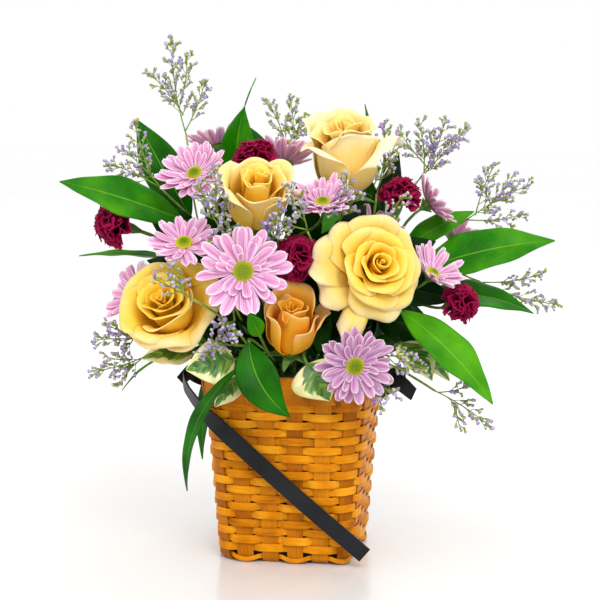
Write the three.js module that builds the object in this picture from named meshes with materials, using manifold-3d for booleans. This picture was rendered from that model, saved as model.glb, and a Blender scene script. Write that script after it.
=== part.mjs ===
// A flower arrangement in a square woven wood basket: roses, daisies, small carnations, sea lavender,
// plain and cream-edged leaves, all standing in a block of foam inside a liner, with two black straps.
// Millimetres, +Z up. The origin is the middle of the basket's foot, and -Y is the basket's front.
import * as THREE from "three";
import { mergeVertices } from "three/addons/utils/BufferGeometryUtils.js";
import Module from "manifold-3d";

const wasm = await Module();
wasm.setup();

// Driving dimensions
const HEIGHT = 150; // foot to rim
const FOOT_SIDE = 106;
const FOOT_CORNER = 18;
const TOP_SIDE = 134;
const TOP_CORNER = 40;
const WALL = 2.4;
const FLOOR = 4;
const STAKES = 20;
const ROWS = 19;
const LASHES = 20;
const BAND_HEIGHT = 20.6; // the plain band round the rim
const BAND_THICK = 2;
const GAP = 0.3; // between pieces that touch
const FOAM_SPARE = 2.2; // round the foam, in the liner
const LINER_WALL = 1.2;
const LINER_TOP = 142;
const FOAM_TOP = 149;
const STRAP_WIDTH = 13;
const STRAP_THICK = 1.6;
const BOUQUET_TURN = THREE.MathUtils.degToRad(10); // the flowers face a little to the basket's right

// Weave relief, measured out from the plain wall
const OVER = 1.7; // a weaver passing over a stake
const UNDER = -0.3; // a weaver passing under a stake
const BETWEEN = 0.7; // a weaver between two stakes
const LASH = 1; // how far a lashing reed stands out of the rim band

// Stems
const STEM_DEPTH = 34; // how far a stem stands in the foam
const HOLE_SPARE = 0.9; // a hole's radius less its stem's
const STEM_FAN = 95; // stems point away from this far below the foam's top
const ENTRY_SHARE = 0.5; // a stem goes in at this share of its fork's distance from the middle

const v3 = (x, y, z) => new THREE.Vector3(x, y, z);
const UP = v3(0, 0, 1);

// Solids

// A closed solid from points and triangles.
function solid(points, triangles) {
  const vertProperties = new Float32Array(points.flatMap((p) => [p.x, p.y, p.z]));
  const triVerts = new Uint32Array(triangles.flat());
  return new wasm.Manifold(new wasm.Mesh({ numProp: 3, vertProperties, triVerts }));
}

// A closed solid from a three.js geometry.
function solidOf(geometry) {
  const bare = geometry.clone();
  bare.deleteAttribute("normal");
  bare.deleteAttribute("uv");
  const merged = mergeVertices(bare, 1e-3);
  const triangles = [];
  for (let i = 0; i < merged.index.count; i += 3) {
    const [a, b, c] = [0, 1, 2].map((k) => merged.index.getX(i + k));
    if (a !== b && b !== c && c !== a) triangles.push([a, b, c]);
  }
  const at = merged.getAttribute("position");
  const points = Array.from({ length: at.count }, (_, i) => v3().fromBufferAttribute(at, i));
  return solid(points, triangles);
}

// The three.js geometry of a solid, kept to its largest body.
function geometryOf(made) {
  const bodies = made.decompose();
  const largest = bodies.reduce((a, b) => (b.volume() > a.volume() ? b : a));
  const { numProp, numVert, vertProperties, triVerts } = largest.getMesh();
  const at = new Float32Array(numVert * 3);
  for (let i = 0; i < numVert; i++) at.set(vertProperties.subarray(i * numProp, i * numProp + 3), i * 3);
  const geometry = new THREE.BufferGeometry();
  geometry.setAttribute("position", new THREE.BufferAttribute(at, 3));
  geometry.setIndex(new THREE.BufferAttribute(new Uint32Array(triVerts), 1));
  return geometry.toNonIndexed();
}

const join = (solids) => solids.reduce((a, b) => a.add(b));

const placed = (made, matrix) => made.transform(matrix.elements);

// Rings of points skinned into a closed solid, its ends closed by fans.
function skin(rings) {
  const n = rings[0].length;
  const points = rings.flat();
  const triangles = [];
  for (let r = 0; r + 1 < rings.length; r++) {
    for (let k = 0; k < n; k++) {
      const [a, b] = [r * n + k, r * n + ((k + 1) % n)];
      triangles.push([a, b, b + n], [a, b + n, a + n]);
    }
  }
  const last = (rings.length - 1) * n;
  if (n <= 4) {
    for (let k = 1; k + 1 < n; k++) {
      triangles.push([0, k + 1, k], [last, last + k, last + k + 1]);
    }
    return solid(points, triangles);
  }
  const middle = (ring) => ring.reduce((s, p) => s.add(p), v3()).divideScalar(n);
  const [first, end] = [points.length, points.length + 1];
  points.push(middle(rings[0]), middle(rings.at(-1)));
  for (let k = 0; k < n; k++) {
    const next = (k + 1) % n;
    triangles.push([first, next, k], [end, last + k, last + next]);
  }
  return solid(points, triangles);
}

const SIDES = 3; // of a stem, a branch or a twig

// A rod along points. radius may be a function of the point's number, and shift is one.
function rod(line, radius, shift = () => 0) {
  let side = v3(1, 0.13, 0.07);
  const rings = line.map((p, i) => {
    const along = line[Math.min(i + 1, line.length - 1)].clone().sub(line[Math.max(i - 1, 0)]).normalize();
    side = side.clone().addScaledVector(along, -side.dot(along)).normalize();
    const across = along.clone().cross(side);
    const r = typeof radius === "function" ? radius(i) : radius;
    const middle = p.clone().addScaledVector(side, shift(i));
    return Array.from({ length: SIDES }, (_, k) => {
      const turn = (2 * Math.PI * k) / SIDES;
      return middle
        .clone()
        .addScaledVector(side, r * Math.cos(turn))
        .addScaledVector(across, r * Math.sin(turn));
    });
  });
  return skin(rings);
}

// Rings of points skinned into a closed hoop, the last ring joined to the first.
function hoopSkin(rings) {
  const n = rings[0].length;
  const triangles = [];
  for (let r = 0; r < rings.length; r++) {
    const above = ((r + 1) % rings.length) * n;
    for (let k = 0; k < n; k++) {
      const next = (k + 1) % n;
      triangles.push([r * n + k, r * n + next, above + next], [r * n + k, above + next, above + k]);
    }
  }
  return solid(rings.flat(), triangles);
}

// A turned solid about Z from a profile of [radius, height] that starts and ends on the axis.
function turned(profile, sides) {
  const lathe = new THREE.LatheGeometry(profile.map(([r, z]) => new THREE.Vector2(r, z)), sides);
  return solidOf(lathe.rotateX(Math.PI / 2));
}

// The matrix that stands a flower made along +Z at a point, facing a direction.
function facing(at, direction) {
  const turn = new THREE.Quaternion().setFromUnitVectors(UP, v3(...direction).normalize());
  return new THREE.Matrix4().compose(v3(...at), turn, v3(1, 1, 1));
}

// Repeatable numbers from 0 to 1
function seeded(seed) {
  let state = seed * 7919 + 17;
  return () => {
    state = (state * 16807) % 2147483647;
    return state / 2147483647;
  };
}

// The basket

// A point of a rounded square and its outward normal, by share of the way round from the front's middle.
function roundedSquare(side, corner, share) {
  const straight = side / 2 - corner;
  const quarter = 2 * straight + (Math.PI / 2) * corner;
  const turns = Math.floor(share * 4 + 0.5);
  const along = (share * 4 - turns) * quarter;
  const bend = Math.max(0, Math.abs(along) - straight) / corner;
  const sign = Math.sign(along);
  const x = sign * Math.min(Math.abs(along), straight) + sign * corner * Math.sin(bend);
  const y = -straight - corner * Math.cos(bend);
  const turn = (turns * Math.PI) / 2;
  const normal = v3(sign * Math.sin(bend), -Math.cos(bend), 0);
  return { at: v3(x, y, 0).applyAxisAngle(UP, turn), normal: normal.applyAxisAngle(UP, turn) };
}

// A point of the basket's wall, moved out by offset.
function wallPoint(height, share, offset) {
  const foot = roundedSquare(FOOT_SIDE, FOOT_CORNER, share);
  const rim = roundedSquare(TOP_SIDE, TOP_CORNER, share);
  const up = height / HEIGHT;
  const normal = foot.normal.lerp(rim.normal, up).normalize();
  return foot.at.lerp(rim.at, up).addScaledVector(normal, offset).setZ(height);
}

function ring(height, columns, offset) {
  const out = typeof offset === "function" ? offset : () => offset;
  return Array.from({ length: columns }, (_, k) => wallPoint(height, k / columns, out(k)));
}

const COLUMNS = 2 * STAKES; // even columns are between stakes, odd ones on a stake
const BAND_FOOT = HEIGHT - BAND_HEIGHT;
const WEAVE_FOOT = 3;
const ROW = (BAND_FOOT - WEAVE_FOOT) / ROWS;
const BAND_SEAT = -0.4; // the wall behind the bands, from the plain outline
const BAND_INSIDE = BAND_SEAT + GAP;
const INNER_BAND = -WALL - 2 * GAP;

function basket() {
  const rings = [ring(0, COLUMNS, -3), ring(WEAVE_FOOT, COLUMNS, -0.3)];
  for (let row = 0; row < ROWS; row++) {
    const over = (k) => (((k - 1) / 2 + row) % 2 === 0 ? UNDER : OVER);
    rings.push(ring(WEAVE_FOOT + (row + 0.5) * ROW, COLUMNS, (k) => (k % 2 ? over(k) : BETWEEN)));
  }
  rings.push(ring(BAND_FOOT, COLUMNS, BAND_SEAT), ring(HEIGHT, COLUMNS, BAND_SEAT));
  rings.push(ring(HEIGHT, COLUMNS, -WALL), ring(FLOOR, COLUMNS, -WALL));
  return skin(rings);
}

// The band round the outside of the rim, with its lashing reed standing out in slanted turns.
function outerBand() {
  const columns = 3 * LASHES;
  const out = BAND_INSIDE + BAND_THICK;
  const low = ring(BAND_FOOT, columns, (k) => (k % 3 === 0 ? out + LASH : out));
  const high = ring(HEIGHT, columns, (k) => (k % 3 === 1 ? out + LASH : out));
  return hoopSkin([low, high, ring(HEIGHT, columns, BAND_INSIDE), ring(BAND_FOOT, columns, BAND_INSIDE)]);
}

function innerBand() {
  const [columns, inside] = [COLUMNS / 2, INNER_BAND - BAND_THICK];
  const outer = [ring(BAND_FOOT, columns, INNER_BAND), ring(HEIGHT, columns, INNER_BAND)];
  return hoopSkin([...outer, ring(HEIGHT, columns, inside), ring(BAND_FOOT, columns, inside)]);
}

const LINER_COLUMNS = COLUMNS / 2;
const LINER_OUT = INNER_BAND - BAND_THICK - 2 * GAP;
const LINER_FOOT = FLOOR + GAP;

function liner() {
  const inside = LINER_OUT - LINER_WALL;
  const floor = LINER_FOOT + LINER_WALL;
  const outer = [ring(LINER_FOOT, LINER_COLUMNS, LINER_OUT), ring(LINER_TOP, LINER_COLUMNS, LINER_OUT)];
  return skin([...outer, ring(LINER_TOP, LINER_COLUMNS, inside), ring(floor, LINER_COLUMNS, inside)]);
}

function foam(holes) {
  const out = LINER_OUT - LINER_WALL - FOAM_SPARE;
  const foot = LINER_FOOT + LINER_WALL + GAP;
  const block = skin([ring(foot, LINER_COLUMNS, out), ring(FOAM_TOP, LINER_COLUMNS, out)]);
  return holes.reduce((left, hole) => left.subtract(hole), block);
}

const RING_OUT = 8.5;
const RING_HALF = 11.5;
const RING_THICK = 1.8;
const RING_DEEP = 5;
const RING_MIDDLE = 137;

// A half ring standing out from the rim band, on the side of +X or -X.
function strapRing(side) {
  const arc = (reach, half) =>
    Array.from({ length: 9 }, (_, k) => {
      const turn = -Math.PI / 2 + (Math.PI * k) / 8;
      return new THREE.Vector2(reach * Math.cos(turn), half * Math.sin(turn));
    });
  const inner = arc(RING_OUT - RING_THICK, RING_HALF - RING_THICK).reverse();
  const shape = new THREE.Shape([...arc(RING_OUT, RING_HALF), ...inner]);
  const geometry = new THREE.ExtrudeGeometry(shape, { depth: RING_DEEP, bevelEnabled: false, steps: 1 });
  const face = wallPoint(HEIGHT, 0.25, BAND_INSIDE + BAND_THICK + GAP).x;
  geometry.rotateX(Math.PI / 2).translate(face, RING_DEEP / 2, RING_MIDDLE);
  if (side < 0) geometry.rotateZ(Math.PI);
  return solidOf(geometry);
}

// The left strap: its tail, through the ring, round the corner, then straight down across the front.
// Each step is a point and the way the strap's outer face looks there.
const STRAP_STEPS = [
  { at: v3(-98, 14, 131), out: v3(-0.5, 0.6, 0.6) },
  { at: v3(-85.5, 18, 141.5), out: v3(-0.3, 0.9, 0.4) },
  { at: v3(-75, 12, 139), out: v3(-0.8, 0.6, 0) },
  { at: v3(-72.2, 1, 137), out: v3(-1, 0, 0) },
  { at: v3(-74.5, -8, 138.5), out: v3(-0.9, 0.4, 0) },
  { at: v3(-81.5, -12, 142), out: v3(-0.45, 0.75, 0.4) },
  { at: v3(-87, -15, 141), out: v3(-0.8, 0.3, 0.4) },
  { at: v3(-85.5, -22, 136), out: v3(-1, -0.1, 0.1) },
  { at: v3(-79, -34, 130.5), out: v3(-0.93, -0.3, -0.1) },
  { at: v3(-70.5, -47, 125.5), out: v3(-0.85, -0.45, -0.1) },
  { at: v3(-60.5, -59.5, 119), out: v3(-0.6, -0.75, 0) },
  { at: v3(-50, -67.3, 112.4), out: v3(-0.25, -0.95, 0.09) },
  { at: v3(-40, -69.3, 104.4), out: v3(0, -1, 0.09) },
  { at: v3(14, -64.5, 55.8), out: v3(0, -1, 0.09) },
  { at: v3(66, -59.8, 11.2), out: v3(0, -1, 0.09) },
];

function strap(side) {
  const curve = new THREE.CatmullRomCurve3(STRAP_STEPS.map(({ at }) => at), false, "centripetal");
  const last = STRAP_STEPS.length - 1;
  const rings = STRAP_STEPS.flatMap(({ out }, i) => {
    const shares = i > 3 && i < last - 3 ? [0, 0.5] : [0];
    return shares.map((share) => {
      const p = curve.getPoint((i + share) / last);
      const along = curve.getTangent((i + share) / last);
      const faces = out.clone().lerp(STRAP_STEPS[Math.min(i + 1, last)].out, share);
      const across = faces.clone().cross(along).normalize();
      const normal = along.clone().cross(across);
      const corner = (a, b) =>
        p
          .clone()
          .addScaledVector(across, (a * STRAP_WIDTH) / 2)
          .addScaledVector(normal, (b * STRAP_THICK) / 2);
      return [corner(-1, -1), corner(1, -1), corner(1, 1), corner(-1, 1)];
    });
  });
  const made = skin(rings);
  return side < 0 ? made : placed(made, new THREE.Matrix4().makeRotationZ(Math.PI));
}

// Stems, in the bouquet's frame: x to its right, y away from its front

const holes = [];

// Where a stem goes into the foam, for what stands at a point above it.
const footOf = ([x, y]) => [x * ENTRY_SHARE, y * ENTRY_SHARE];

// A stem's lowest points, in the foam at a foot, with the hole that it stands in.
function planted([x, y], radius) {
  const mouth = v3(x, y, FOAM_TOP);
  const lean = v3(x, y, STEM_FAN).normalize();
  const bottom = mouth.clone().addScaledVector(lean, -STEM_DEPTH);
  const below = bottom.clone().addScaledVector(lean, -HOLE_SPARE);
  holes.push(rod([below, mouth.clone().addScaledVector(lean, 12)], radius + HOLE_SPARE));
  return { bottom, mouth: mouth.addScaledVector(lean, 2), lean };
}

// A curve that leaves one point one way and comes to another in another way.
function bowed(from, leaving, to, arriving, segments) {
  const reach = from.distanceTo(to) * 0.36;
  const leave = from.clone().addScaledVector(leaving, reach);
  const arrive = to.clone().addScaledVector(arriving, -reach);
  return new THREE.CubicBezierCurve3(from, leave, arrive, to).getPoints(segments);
}

// One stem from the foam to a head that faces a way.
function singleStem(head, foot, radius) {
  const { bottom, mouth, lean } = planted(foot, radius);
  return rod([bottom, ...bowed(mouth, lean, head.at, head.way, 4)], radius);
}

// A stem from the foam to a fork, and a branch from the fork to each head.
function forkedStem({ fork, foot = footOf(fork) }, heads, radius) {
  if (heads.length === 1) return singleStem(heads[0], foot, radius);
  const at = v3(...fork);
  const { bottom, mouth } = planted(foot, radius);
  const away = at.clone().sub(mouth).normalize();
  const parts = [rod([bottom, mouth, at.clone().addScaledVector(away, radius)], radius)];
  for (const head of heads) {
    const leaving = head.at.clone().sub(at).normalize().lerp(away, 0.45).normalize();
    parts.push(rod(bowed(at, leaving, head.at, head.way, 2), radius * 0.8));
  }
  return join(parts);
}

// Roses

const ROSE_PETALS = 5; // in each layer
const LIP = 1.4; // a petal's thickness at its lip

// A ring of points through one layer of petals. Each petal has its two edges and its middle: step sets
// one edge over the next petal's, dip lowers both edges and point pushes the middle out.
function petalRing(turn, radius, height, { step = 0, dip = 0, point = 0 } = {}) {
  return Array.from({ length: 3 * ROSE_PETALS }, (_, k) => {
    const share = (k % 3) - 1;
    const angle = turn + (2 * Math.PI * (Math.floor(k / 3) + 0.5 + 0.44 * share)) / ROSE_PETALS;
    const out = radius + step * share + point * (1 - Math.abs(share));
    return v3(out * Math.cos(angle), out * Math.sin(angle), height - dip * Math.abs(share));
  });
}

// A rose bloom along +Z from its seat at the origin. layers go inward as the lip's radius and height,
// how far the lip rolls out, and the floor's radius and height inside it, in shares of the bloom's.
function roseBloom({ radius, height, layers }) {
  const rings = [
    petalRing(0, radius * 0.2, 0),
    petalRing(0, radius * (layers[0].lip - 0.12), height * 0.34, { step: 0.8 }),
  ];
  layers.forEach(({ lip, top, roll, floor, bottom }, layer) => {
    const turn = (Math.PI / ROSE_PETALS) * layer;
    const form = { step: 1.1, dip: height * 0.1, point: radius * roll };
    const inner = { ...form, point: radius * roll * 0.6 };
    rings.push(petalRing(turn, radius * lip, height * top, form));
    rings.push(petalRing(turn, radius * lip - LIP, height * top + 0.4, inner));
    rings.push(petalRing(turn + Math.PI / ROSE_PETALS / 2, radius * floor, height * bottom));
  });
  rings.push(petalRing((Math.PI / ROSE_PETALS) * layers.length, radius * 0.1, height * 0.96));
  return skin(rings);
}

const OPEN_ROSE = [
  { lip: 0.9, top: 0.74, roll: 0.1, floor: 0.6, bottom: 0.4 },
  { lip: 0.66, top: 0.92, roll: 0.05, floor: 0.42, bottom: 0.6 },
  { lip: 0.4, top: 1, roll: 0.02, floor: 0.2, bottom: 0.76 },
];
const HALF_ROSE = [
  { lip: 0.88, top: 0.86, roll: 0.12, floor: 0.56, bottom: 0.6 },
  { lip: 0.5, top: 1, roll: 0.04, floor: 0.24, bottom: 0.76 },
];

const ROSES = [
  {
    name: "top",
    layers: OPEN_ROSE,
    at: [42, 0, 288],
    face: [-0.06, -0.3, 0.95],
    radius: 37,
    height: 64,
  },
  {
    name: "upper_left",
    layers: HALF_ROSE,
    at: [-31, -36, 266],
    face: [0.05, -0.36, 0.93],
    radius: 29,
    height: 61,
  },
  {
    name: "right",
    layers: OPEN_ROSE,
    at: [57, -62, 232],
    face: [0.2, -0.9, 0.34],
    radius: 44,
    height: 40,
  },
  {
    name: "left",
    layers: OPEN_ROSE,
    at: [-92, -46, 188],
    face: [-0.02, -0.82, 0.52],
    radius: 42,
    height: 42,
  },
  {
    name: "bud",
    layers: HALF_ROSE,
    at: [-3, -66, 172],
    face: [0.03, -0.5, 0.86],
    radius: 21,
    height: 51,
  },
];

const HIP = 6; // its radius
const HIP_DEEP = 9; // how far below the bloom the stem meets it

// A rose's green parts along +Z below the origin: the hip and five sepals bent out from under it.
function roseGreen(radius) {
  const star = (tip, drop) => (k) => (k % 2 ? { out: HIP, z: drop * 0.4 } : { out: tip, z: drop });
  const round = (out, z) => () => ({ out, z });
  const tip = HIP + radius * 0.4;
  const steps = [round(2, -13), round(HIP * 0.75, -9), round(HIP, -5), star(tip, -6.4), star(tip, -5.4)];
  steps.push(round(HIP * 0.8, -GAP));
  return skin(
    steps.map((step) =>
      Array.from({ length: 10 }, (_, k) => {
        const { out, z } = step(k);
        return v3(out * Math.cos((Math.PI * k) / 5), out * Math.sin((Math.PI * k) / 5), z);
      }),
    ),
  );
}

// Daisies

const DISC_FOOT = 3; // the disc's underside above the bloom's seat
const NECK = 2;
const SINGLE_RAYS = 12;
const DOUBLE_RAYS = 11; // in each of the two layers
const WIDEST_RAY = 0.76; // share of a ray's length at which it is widest

// A daisy's rays along +Z, round a collar with a hole for the neck. Each ray has a flat top and a keel
// below. A double daisy has more rays, and every other one is shorter and lies above its neighbours.
function daisyRays({ radius, cup, double }) {
  const count = double ? 2 * DOUBLE_RAYS : SINGLE_RAYS;
  const collar = radius * 0.25;
  const top = DISC_FOOT - GAP;
  const points = [];
  const triangles = [];
  const rootHalf = collar * Math.tan(Math.PI / count) * 0.8;
  for (let k = 0; k < count; k++) {
    const spin = (2 * Math.PI * k) / count;
    const at = (out, side, z) => v3(out, side, z).applyAxisAngle(UP, spin);
    const over = double && k % 2 === 1;
    const reach = radius * (over ? 0.8 : k % 3 === 1 ? 0.94 : 1);
    const rise = (share) => top / 2 + reach * cup * share * share + (over ? 3.6 * share : 0);
    const wide = THREE.MathUtils.lerp(collar, reach, WIDEST_RAY);
    const [edge, keel] = [rise(WIDEST_RAY) + 0.4, rise(WIDEST_RAY) - 0.8];
    points.push(at(collar, rootHalf, top), at(collar, -rootHalf, top), at(collar, 0, 0));
    points.push(at(wide, reach * 0.125, edge), at(wide, -reach * 0.125, edge), at(wide, 0, keel));
    points.push(at(reach, 0, rise(1)), at(NECK + GAP, 0, top), at(NECK + GAP, 0, 0));
    const here = Array.from({ length: 9 }, (_, i) => 9 * k + i);
    const [rootL, rootR, rootK, wideL, wideR, wideK, tip, holeTop, holeLow] = here;
    const [, nextR, nextK, , , , , nextTop, nextLow] = here.map((i) => (i + 9) % (9 * count));
    triangles.push([holeTop, rootR, rootL], [holeTop, rootL, nextTop], [nextTop, rootL, nextR]);
    triangles.push([holeLow, nextLow, nextK], [holeLow, nextK, rootK]);
    triangles.push([rootK, nextK, nextR], [rootK, nextR, rootL]);
    triangles.push([nextLow, holeLow, holeTop], [nextLow, holeTop, nextTop]);
    triangles.push([rootR, wideR, wideL], [rootR, wideL, rootL]);
    triangles.push([rootL, wideL, wideK], [rootL, wideK, rootK]);
    triangles.push([wideR, rootR, rootK], [wideR, rootK, wideK]);
    triangles.push([wideR, tip, wideL], [wideL, tip, wideK], [wideK, tip, wideR]);
  }
  return solid(points, triangles);
}

const DAISIES = [
  { name: "front", at: [-38, -96, 236], face: [0.03, -0.97, 0.2], radius: 38, cup: 0.12, double: true },
  { name: "upper_left", at: [-77, -24, 303], face: [-0.25, -0.7, 0.65], radius: 30, cup: 0.3, double: true },
  { name: "left", at: [-84, -60, 252], face: [-0.05, -0.62, 0.78], radius: 30, cup: 0.14 },
  { name: "low_right", at: [45, -90, 164], face: [0.25, -0.96, -0.03], radius: 33, cup: 0.16, double: true },
  { name: "middle", at: [24, -48, 280], face: [-0.05, -0.62, 0.78], radius: 27, cup: 0.3 },
  { name: "far_left", at: [-125, -8, 207], face: [-0.7, -0.55, 0.45], radius: 29, cup: 0.2 },
  { name: "back_left", at: [-62, 42, 322], face: [-0.2, 0.25, 0.95], radius: 27, cup: 0.4 },
  { name: "back_middle", at: [-8, 42, 308], face: [0.05, 0.4, 0.9], radius: 27, cup: 0.5 },
  { name: "right_side", at: [106, 12, 277], face: [0.85, 0.1, 0.5], radius: 25, cup: 0.4 },
  { name: "right", at: [107, -29, 225], face: [0.5, -0.45, 0.74], radius: 25, cup: 0.5 },
  { name: "back_right", at: [132, 62, 244], face: [0.55, 0.45, 0.7], radius: 25, cup: 0.4 },
];

// Each stem of daisies: the daisies on it, and the point where it forks.
const DAISY_STEMS = [
  { name: "front", of: ["front"], fork: [-36, -56, 196] },
  { name: "low_right", of: ["low_right"], fork: [30, -60, 160] },
  { name: "left", of: ["upper_left", "left", "far_left"], fork: [-58, 8, 200] },
  { name: "middle", of: ["middle", "back_left", "back_middle"], fork: [-14, 6, 236] },
  { name: "right", of: ["right_side", "right", "back_right"], fork: [62, 16, 200] },
];

// A daisy's green parts along +Z: the cup under the rays, the neck through them and the disc on top.
function daisyGreen(radius) {
  const disc = radius * 0.22;
  return turned(
    [
      [0, -GAP - 5],
      [disc * 0.75, -GAP],
      [NECK, -GAP],
      [NECK, DISC_FOOT],
      [disc, DISC_FOOT],
      [disc * 0.8, DISC_FOOT + 2.2],
      [0, DISC_FOOT + 2.8],
    ],
    6,
  );
}

// Carnations

const CARNATION_TEETH = 6; // round each tier

// A carnation's ruffled petals along +Z: three tiers with waved, toothed edges round a slim core.
function carnationBloom(radius, seed) {
  const chance = seeded(seed);
  const n = 2 * CARNATION_TEETH;
  const round = (turn, out, z) =>
    Array.from({ length: n }, (_, k) => {
      const angle = turn + (2 * Math.PI * k) / n;
      return v3(radius * out * Math.cos(angle), radius * out * Math.sin(angle), radius * z);
    });
  const tiers = [
    { out: 1, z: 0.22, wave: 0.12, core: 0.34, above: 0.36 },
    { out: 0.84, z: 0.66, wave: 0.13, core: 0.26, above: 0.66 },
    { out: 0.5, z: 1.02, wave: 0.1, core: 0.12, above: 0.8 },
  ];
  const rings = [round(0, 0.14, 0), round(0, 0.36, 0.08)];
  tiers.forEach(({ out, z, wave, core, above }, tier) => {
    const turn = tier * 0.3;
    const edge = round(turn, out, z).map((p, k) => {
      const tooth = k % 2 ? 0.84 : 0.96 + 0.08 * chance();
      const rise = (k % 4 < 2 ? wave : -wave) * (0.7 + 0.6 * chance());
      return v3(p.x * tooth, p.y * tooth, p.z + radius * rise);
    });
    rings.push(edge, edge.map((p) => v3(p.x * 0.99, p.y * 0.99, p.z + 0.9)), round(turn, core, above));
  });
  return skin(rings);
}

const CALYX = 15;

// A carnation's calyx, a cup below the origin along +Z.
function carnationGreen() {
  const [foot, middle] = [-GAP - CALYX, -GAP - CALYX * 0.4];
  return turned([[0, foot - 2], [2.4, foot], [4.4, middle], [4.2, -GAP], [0, -GAP]], 6);
}

const CARNATIONS = [
  { name: "left", at: [-133, -14, 260], face: [-0.8, -0.5, 0.3], radius: 19 },
  { name: "upper", at: [-31, 8, 308], face: [0, 0.1, 1], radius: 20 },
  { name: "middle", at: [4, -62, 236], face: [0.05, -0.85, 0.5], radius: 18 },
  { name: "upper_right", at: [82, -16, 282], face: [0.25, -0.35, 0.9], radius: 18 },
  { name: "right", at: [128, -24, 202], face: [0.6, -0.75, 0.28], radius: 17 },
];

const CARNATION_STEMS = [
  { name: "left", of: ["left"], fork: [-58, -22, 200] },
  { name: "middle", of: ["upper", "middle"], fork: [-6, -16, 200] },
  { name: "right", of: ["upper_right", "right"], fork: [54, -16, 208] },
];

// Leaves

const LEAF_THICK = 1.3; // at the midrib

// A leaf from its root to its tip. face is the way its upper side looks, arch how far its middle stands
// up that way, fold how much its halves rise, and widest under 1 sets its widest place nearer the root.
function leafBlade({ root, tip, width, face, arch = 0, fold = 0.14, widest, cuts = 5 }) {
  const [from, to, out] = [v3(...root), v3(...tip), v3(...face).normalize()];
  const middle = from.clone().lerp(to, 0.5).addScaledVector(out, 2 * arch);
  const curve = new THREE.QuadraticBezierCurve3(from, middle, to);
  const rings = Array.from({ length: cuts + 1 }, (_, i) => {
    const share = i / cuts;
    const at = curve.getPoint(share);
    const along = curve.getTangent(share);
    const side = along.clone().cross(out).normalize();
    const up = side.clone().cross(along).normalize();
    const half = Math.max(0.7, (width / 2) * Math.sin(Math.PI * share ** widest));
    const thick = Math.min(LEAF_THICK, half * 0.6) / 2;
    const point = (across, above) => at.clone().addScaledVector(side, across).addScaledVector(up, above);
    return [point(0, thick), point(half, half * fold), point(0, -thick), point(-half, half * fold)];
  });
  return skin(rings);
}

const LEAF_STEMS = [
  {
    name: "leaves_left",
    fork: [-62, 26, 215],
    leaves: [
      { root: [-88, -2, 266], tip: [-182, -34, 299], width: 36, face: [-0.1, -0.75, 0.65], arch: 5 },
      { root: [-96, -2, 235], tip: [-169, -24, 240], width: 16, face: [-0.1, 0.35, 0.93], arch: 3, cuts: 4 },
      { root: [-84, 30, 266], tip: [-129, 52, 344], width: 34, face: [-0.3, -0.9, 0.35], arch: 5 },
    ],
  },
  {
    name: "leaves_top",
    fork: [-30, 18, 236],
    leaves: [
      { root: [-44, 34, 296], tip: [-33, 32, 376], width: 24, face: [0.2, -0.95, 0.1], arch: 4, fold: 0.3 },
      { root: [-20, 77, 296], tip: [-40, 84, 338], width: 18, face: [0, -0.9, 0.4], arch: 3, cuts: 4 },
    ],
  },
  {
    name: "leaves_right",
    fork: [74, 8, 184],
    foot: [38, 3],
    leaves: [
      { root: [96, 4, 224], tip: [207, -4, 250], width: 40, face: [0.05, -0.72, 0.7], arch: 8 },
      { root: [88, 30, 240], tip: [146, 34, 270], width: 22, face: [-0.1, -0.75, 0.65], arch: 5, cuts: 4 },
      { root: [100, 22, 200], tip: [194, 22, 188], width: 30, face: [0.1, -0.6, 0.8], arch: 12 },
      { root: [82, -46, 200], tip: [151, -84, 133], width: 36, face: [0.45, -0.75, 0.5], arch: 8 },
    ],
  },
  {
    name: "leaves_front",
    fork: [-20, -64, 170],
    leaves: [
      { root: [-32, -90, 180], tip: [-3, -108, 128], width: 34, face: [-0.1, -1, 0.2], arch: 6 },
      { root: [-26, -86, 186], tip: [-34, -104, 206], width: 13, face: [0.3, -0.9, -0.2], arch: 2, cuts: 4 },
      { root: [-42, -88, 162], tip: [-81, -98, 69], width: 15, face: [-0.75, -0.6, 0.3], arch: 17, cuts: 7 },
    ],
  },
  {
    name: "leaves_low_left",
    fork: [-66, 8, 160],
    foot: [-42, 6],
    leaves: [
      { root: [-84, -16, 160], tip: [-136, -30, 134], width: 11, face: [-0.2, 0.1, 1], arch: 9 },
      { root: [-62, 62, 151], tip: [-77, 46, 62], width: 15, face: [-0.6, -0.7, 0.2], arch: 8 },
    ],
  },
  {
    name: "leaves_back",
    fork: [16, 60, 176],
    leaves: [
      { root: [56, 66, 304], tip: [58, 70, 356], width: 18, face: [1, -0.2, 0], arch: 3, cuts: 4 },
      { root: [30, 90, 216], tip: [52, 130, 286], width: 38, face: [0.1, 0.85, 0.5], arch: 6 },
      { root: [-12, 92, 214], tip: [-60, 134, 262], width: 38, face: [-0.2, 0.8, 0.6], arch: 6 },
      { root: [44, 80, 186], tip: [94, 122, 176], width: 34, face: [0.2, 0.5, 0.85], arch: 9 },
      { root: [-40, 74, 186], tip: [-118, 104, 200], width: 36, face: [-0.3, 0.5, 0.8], arch: 9 },
    ],
  },
];

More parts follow.
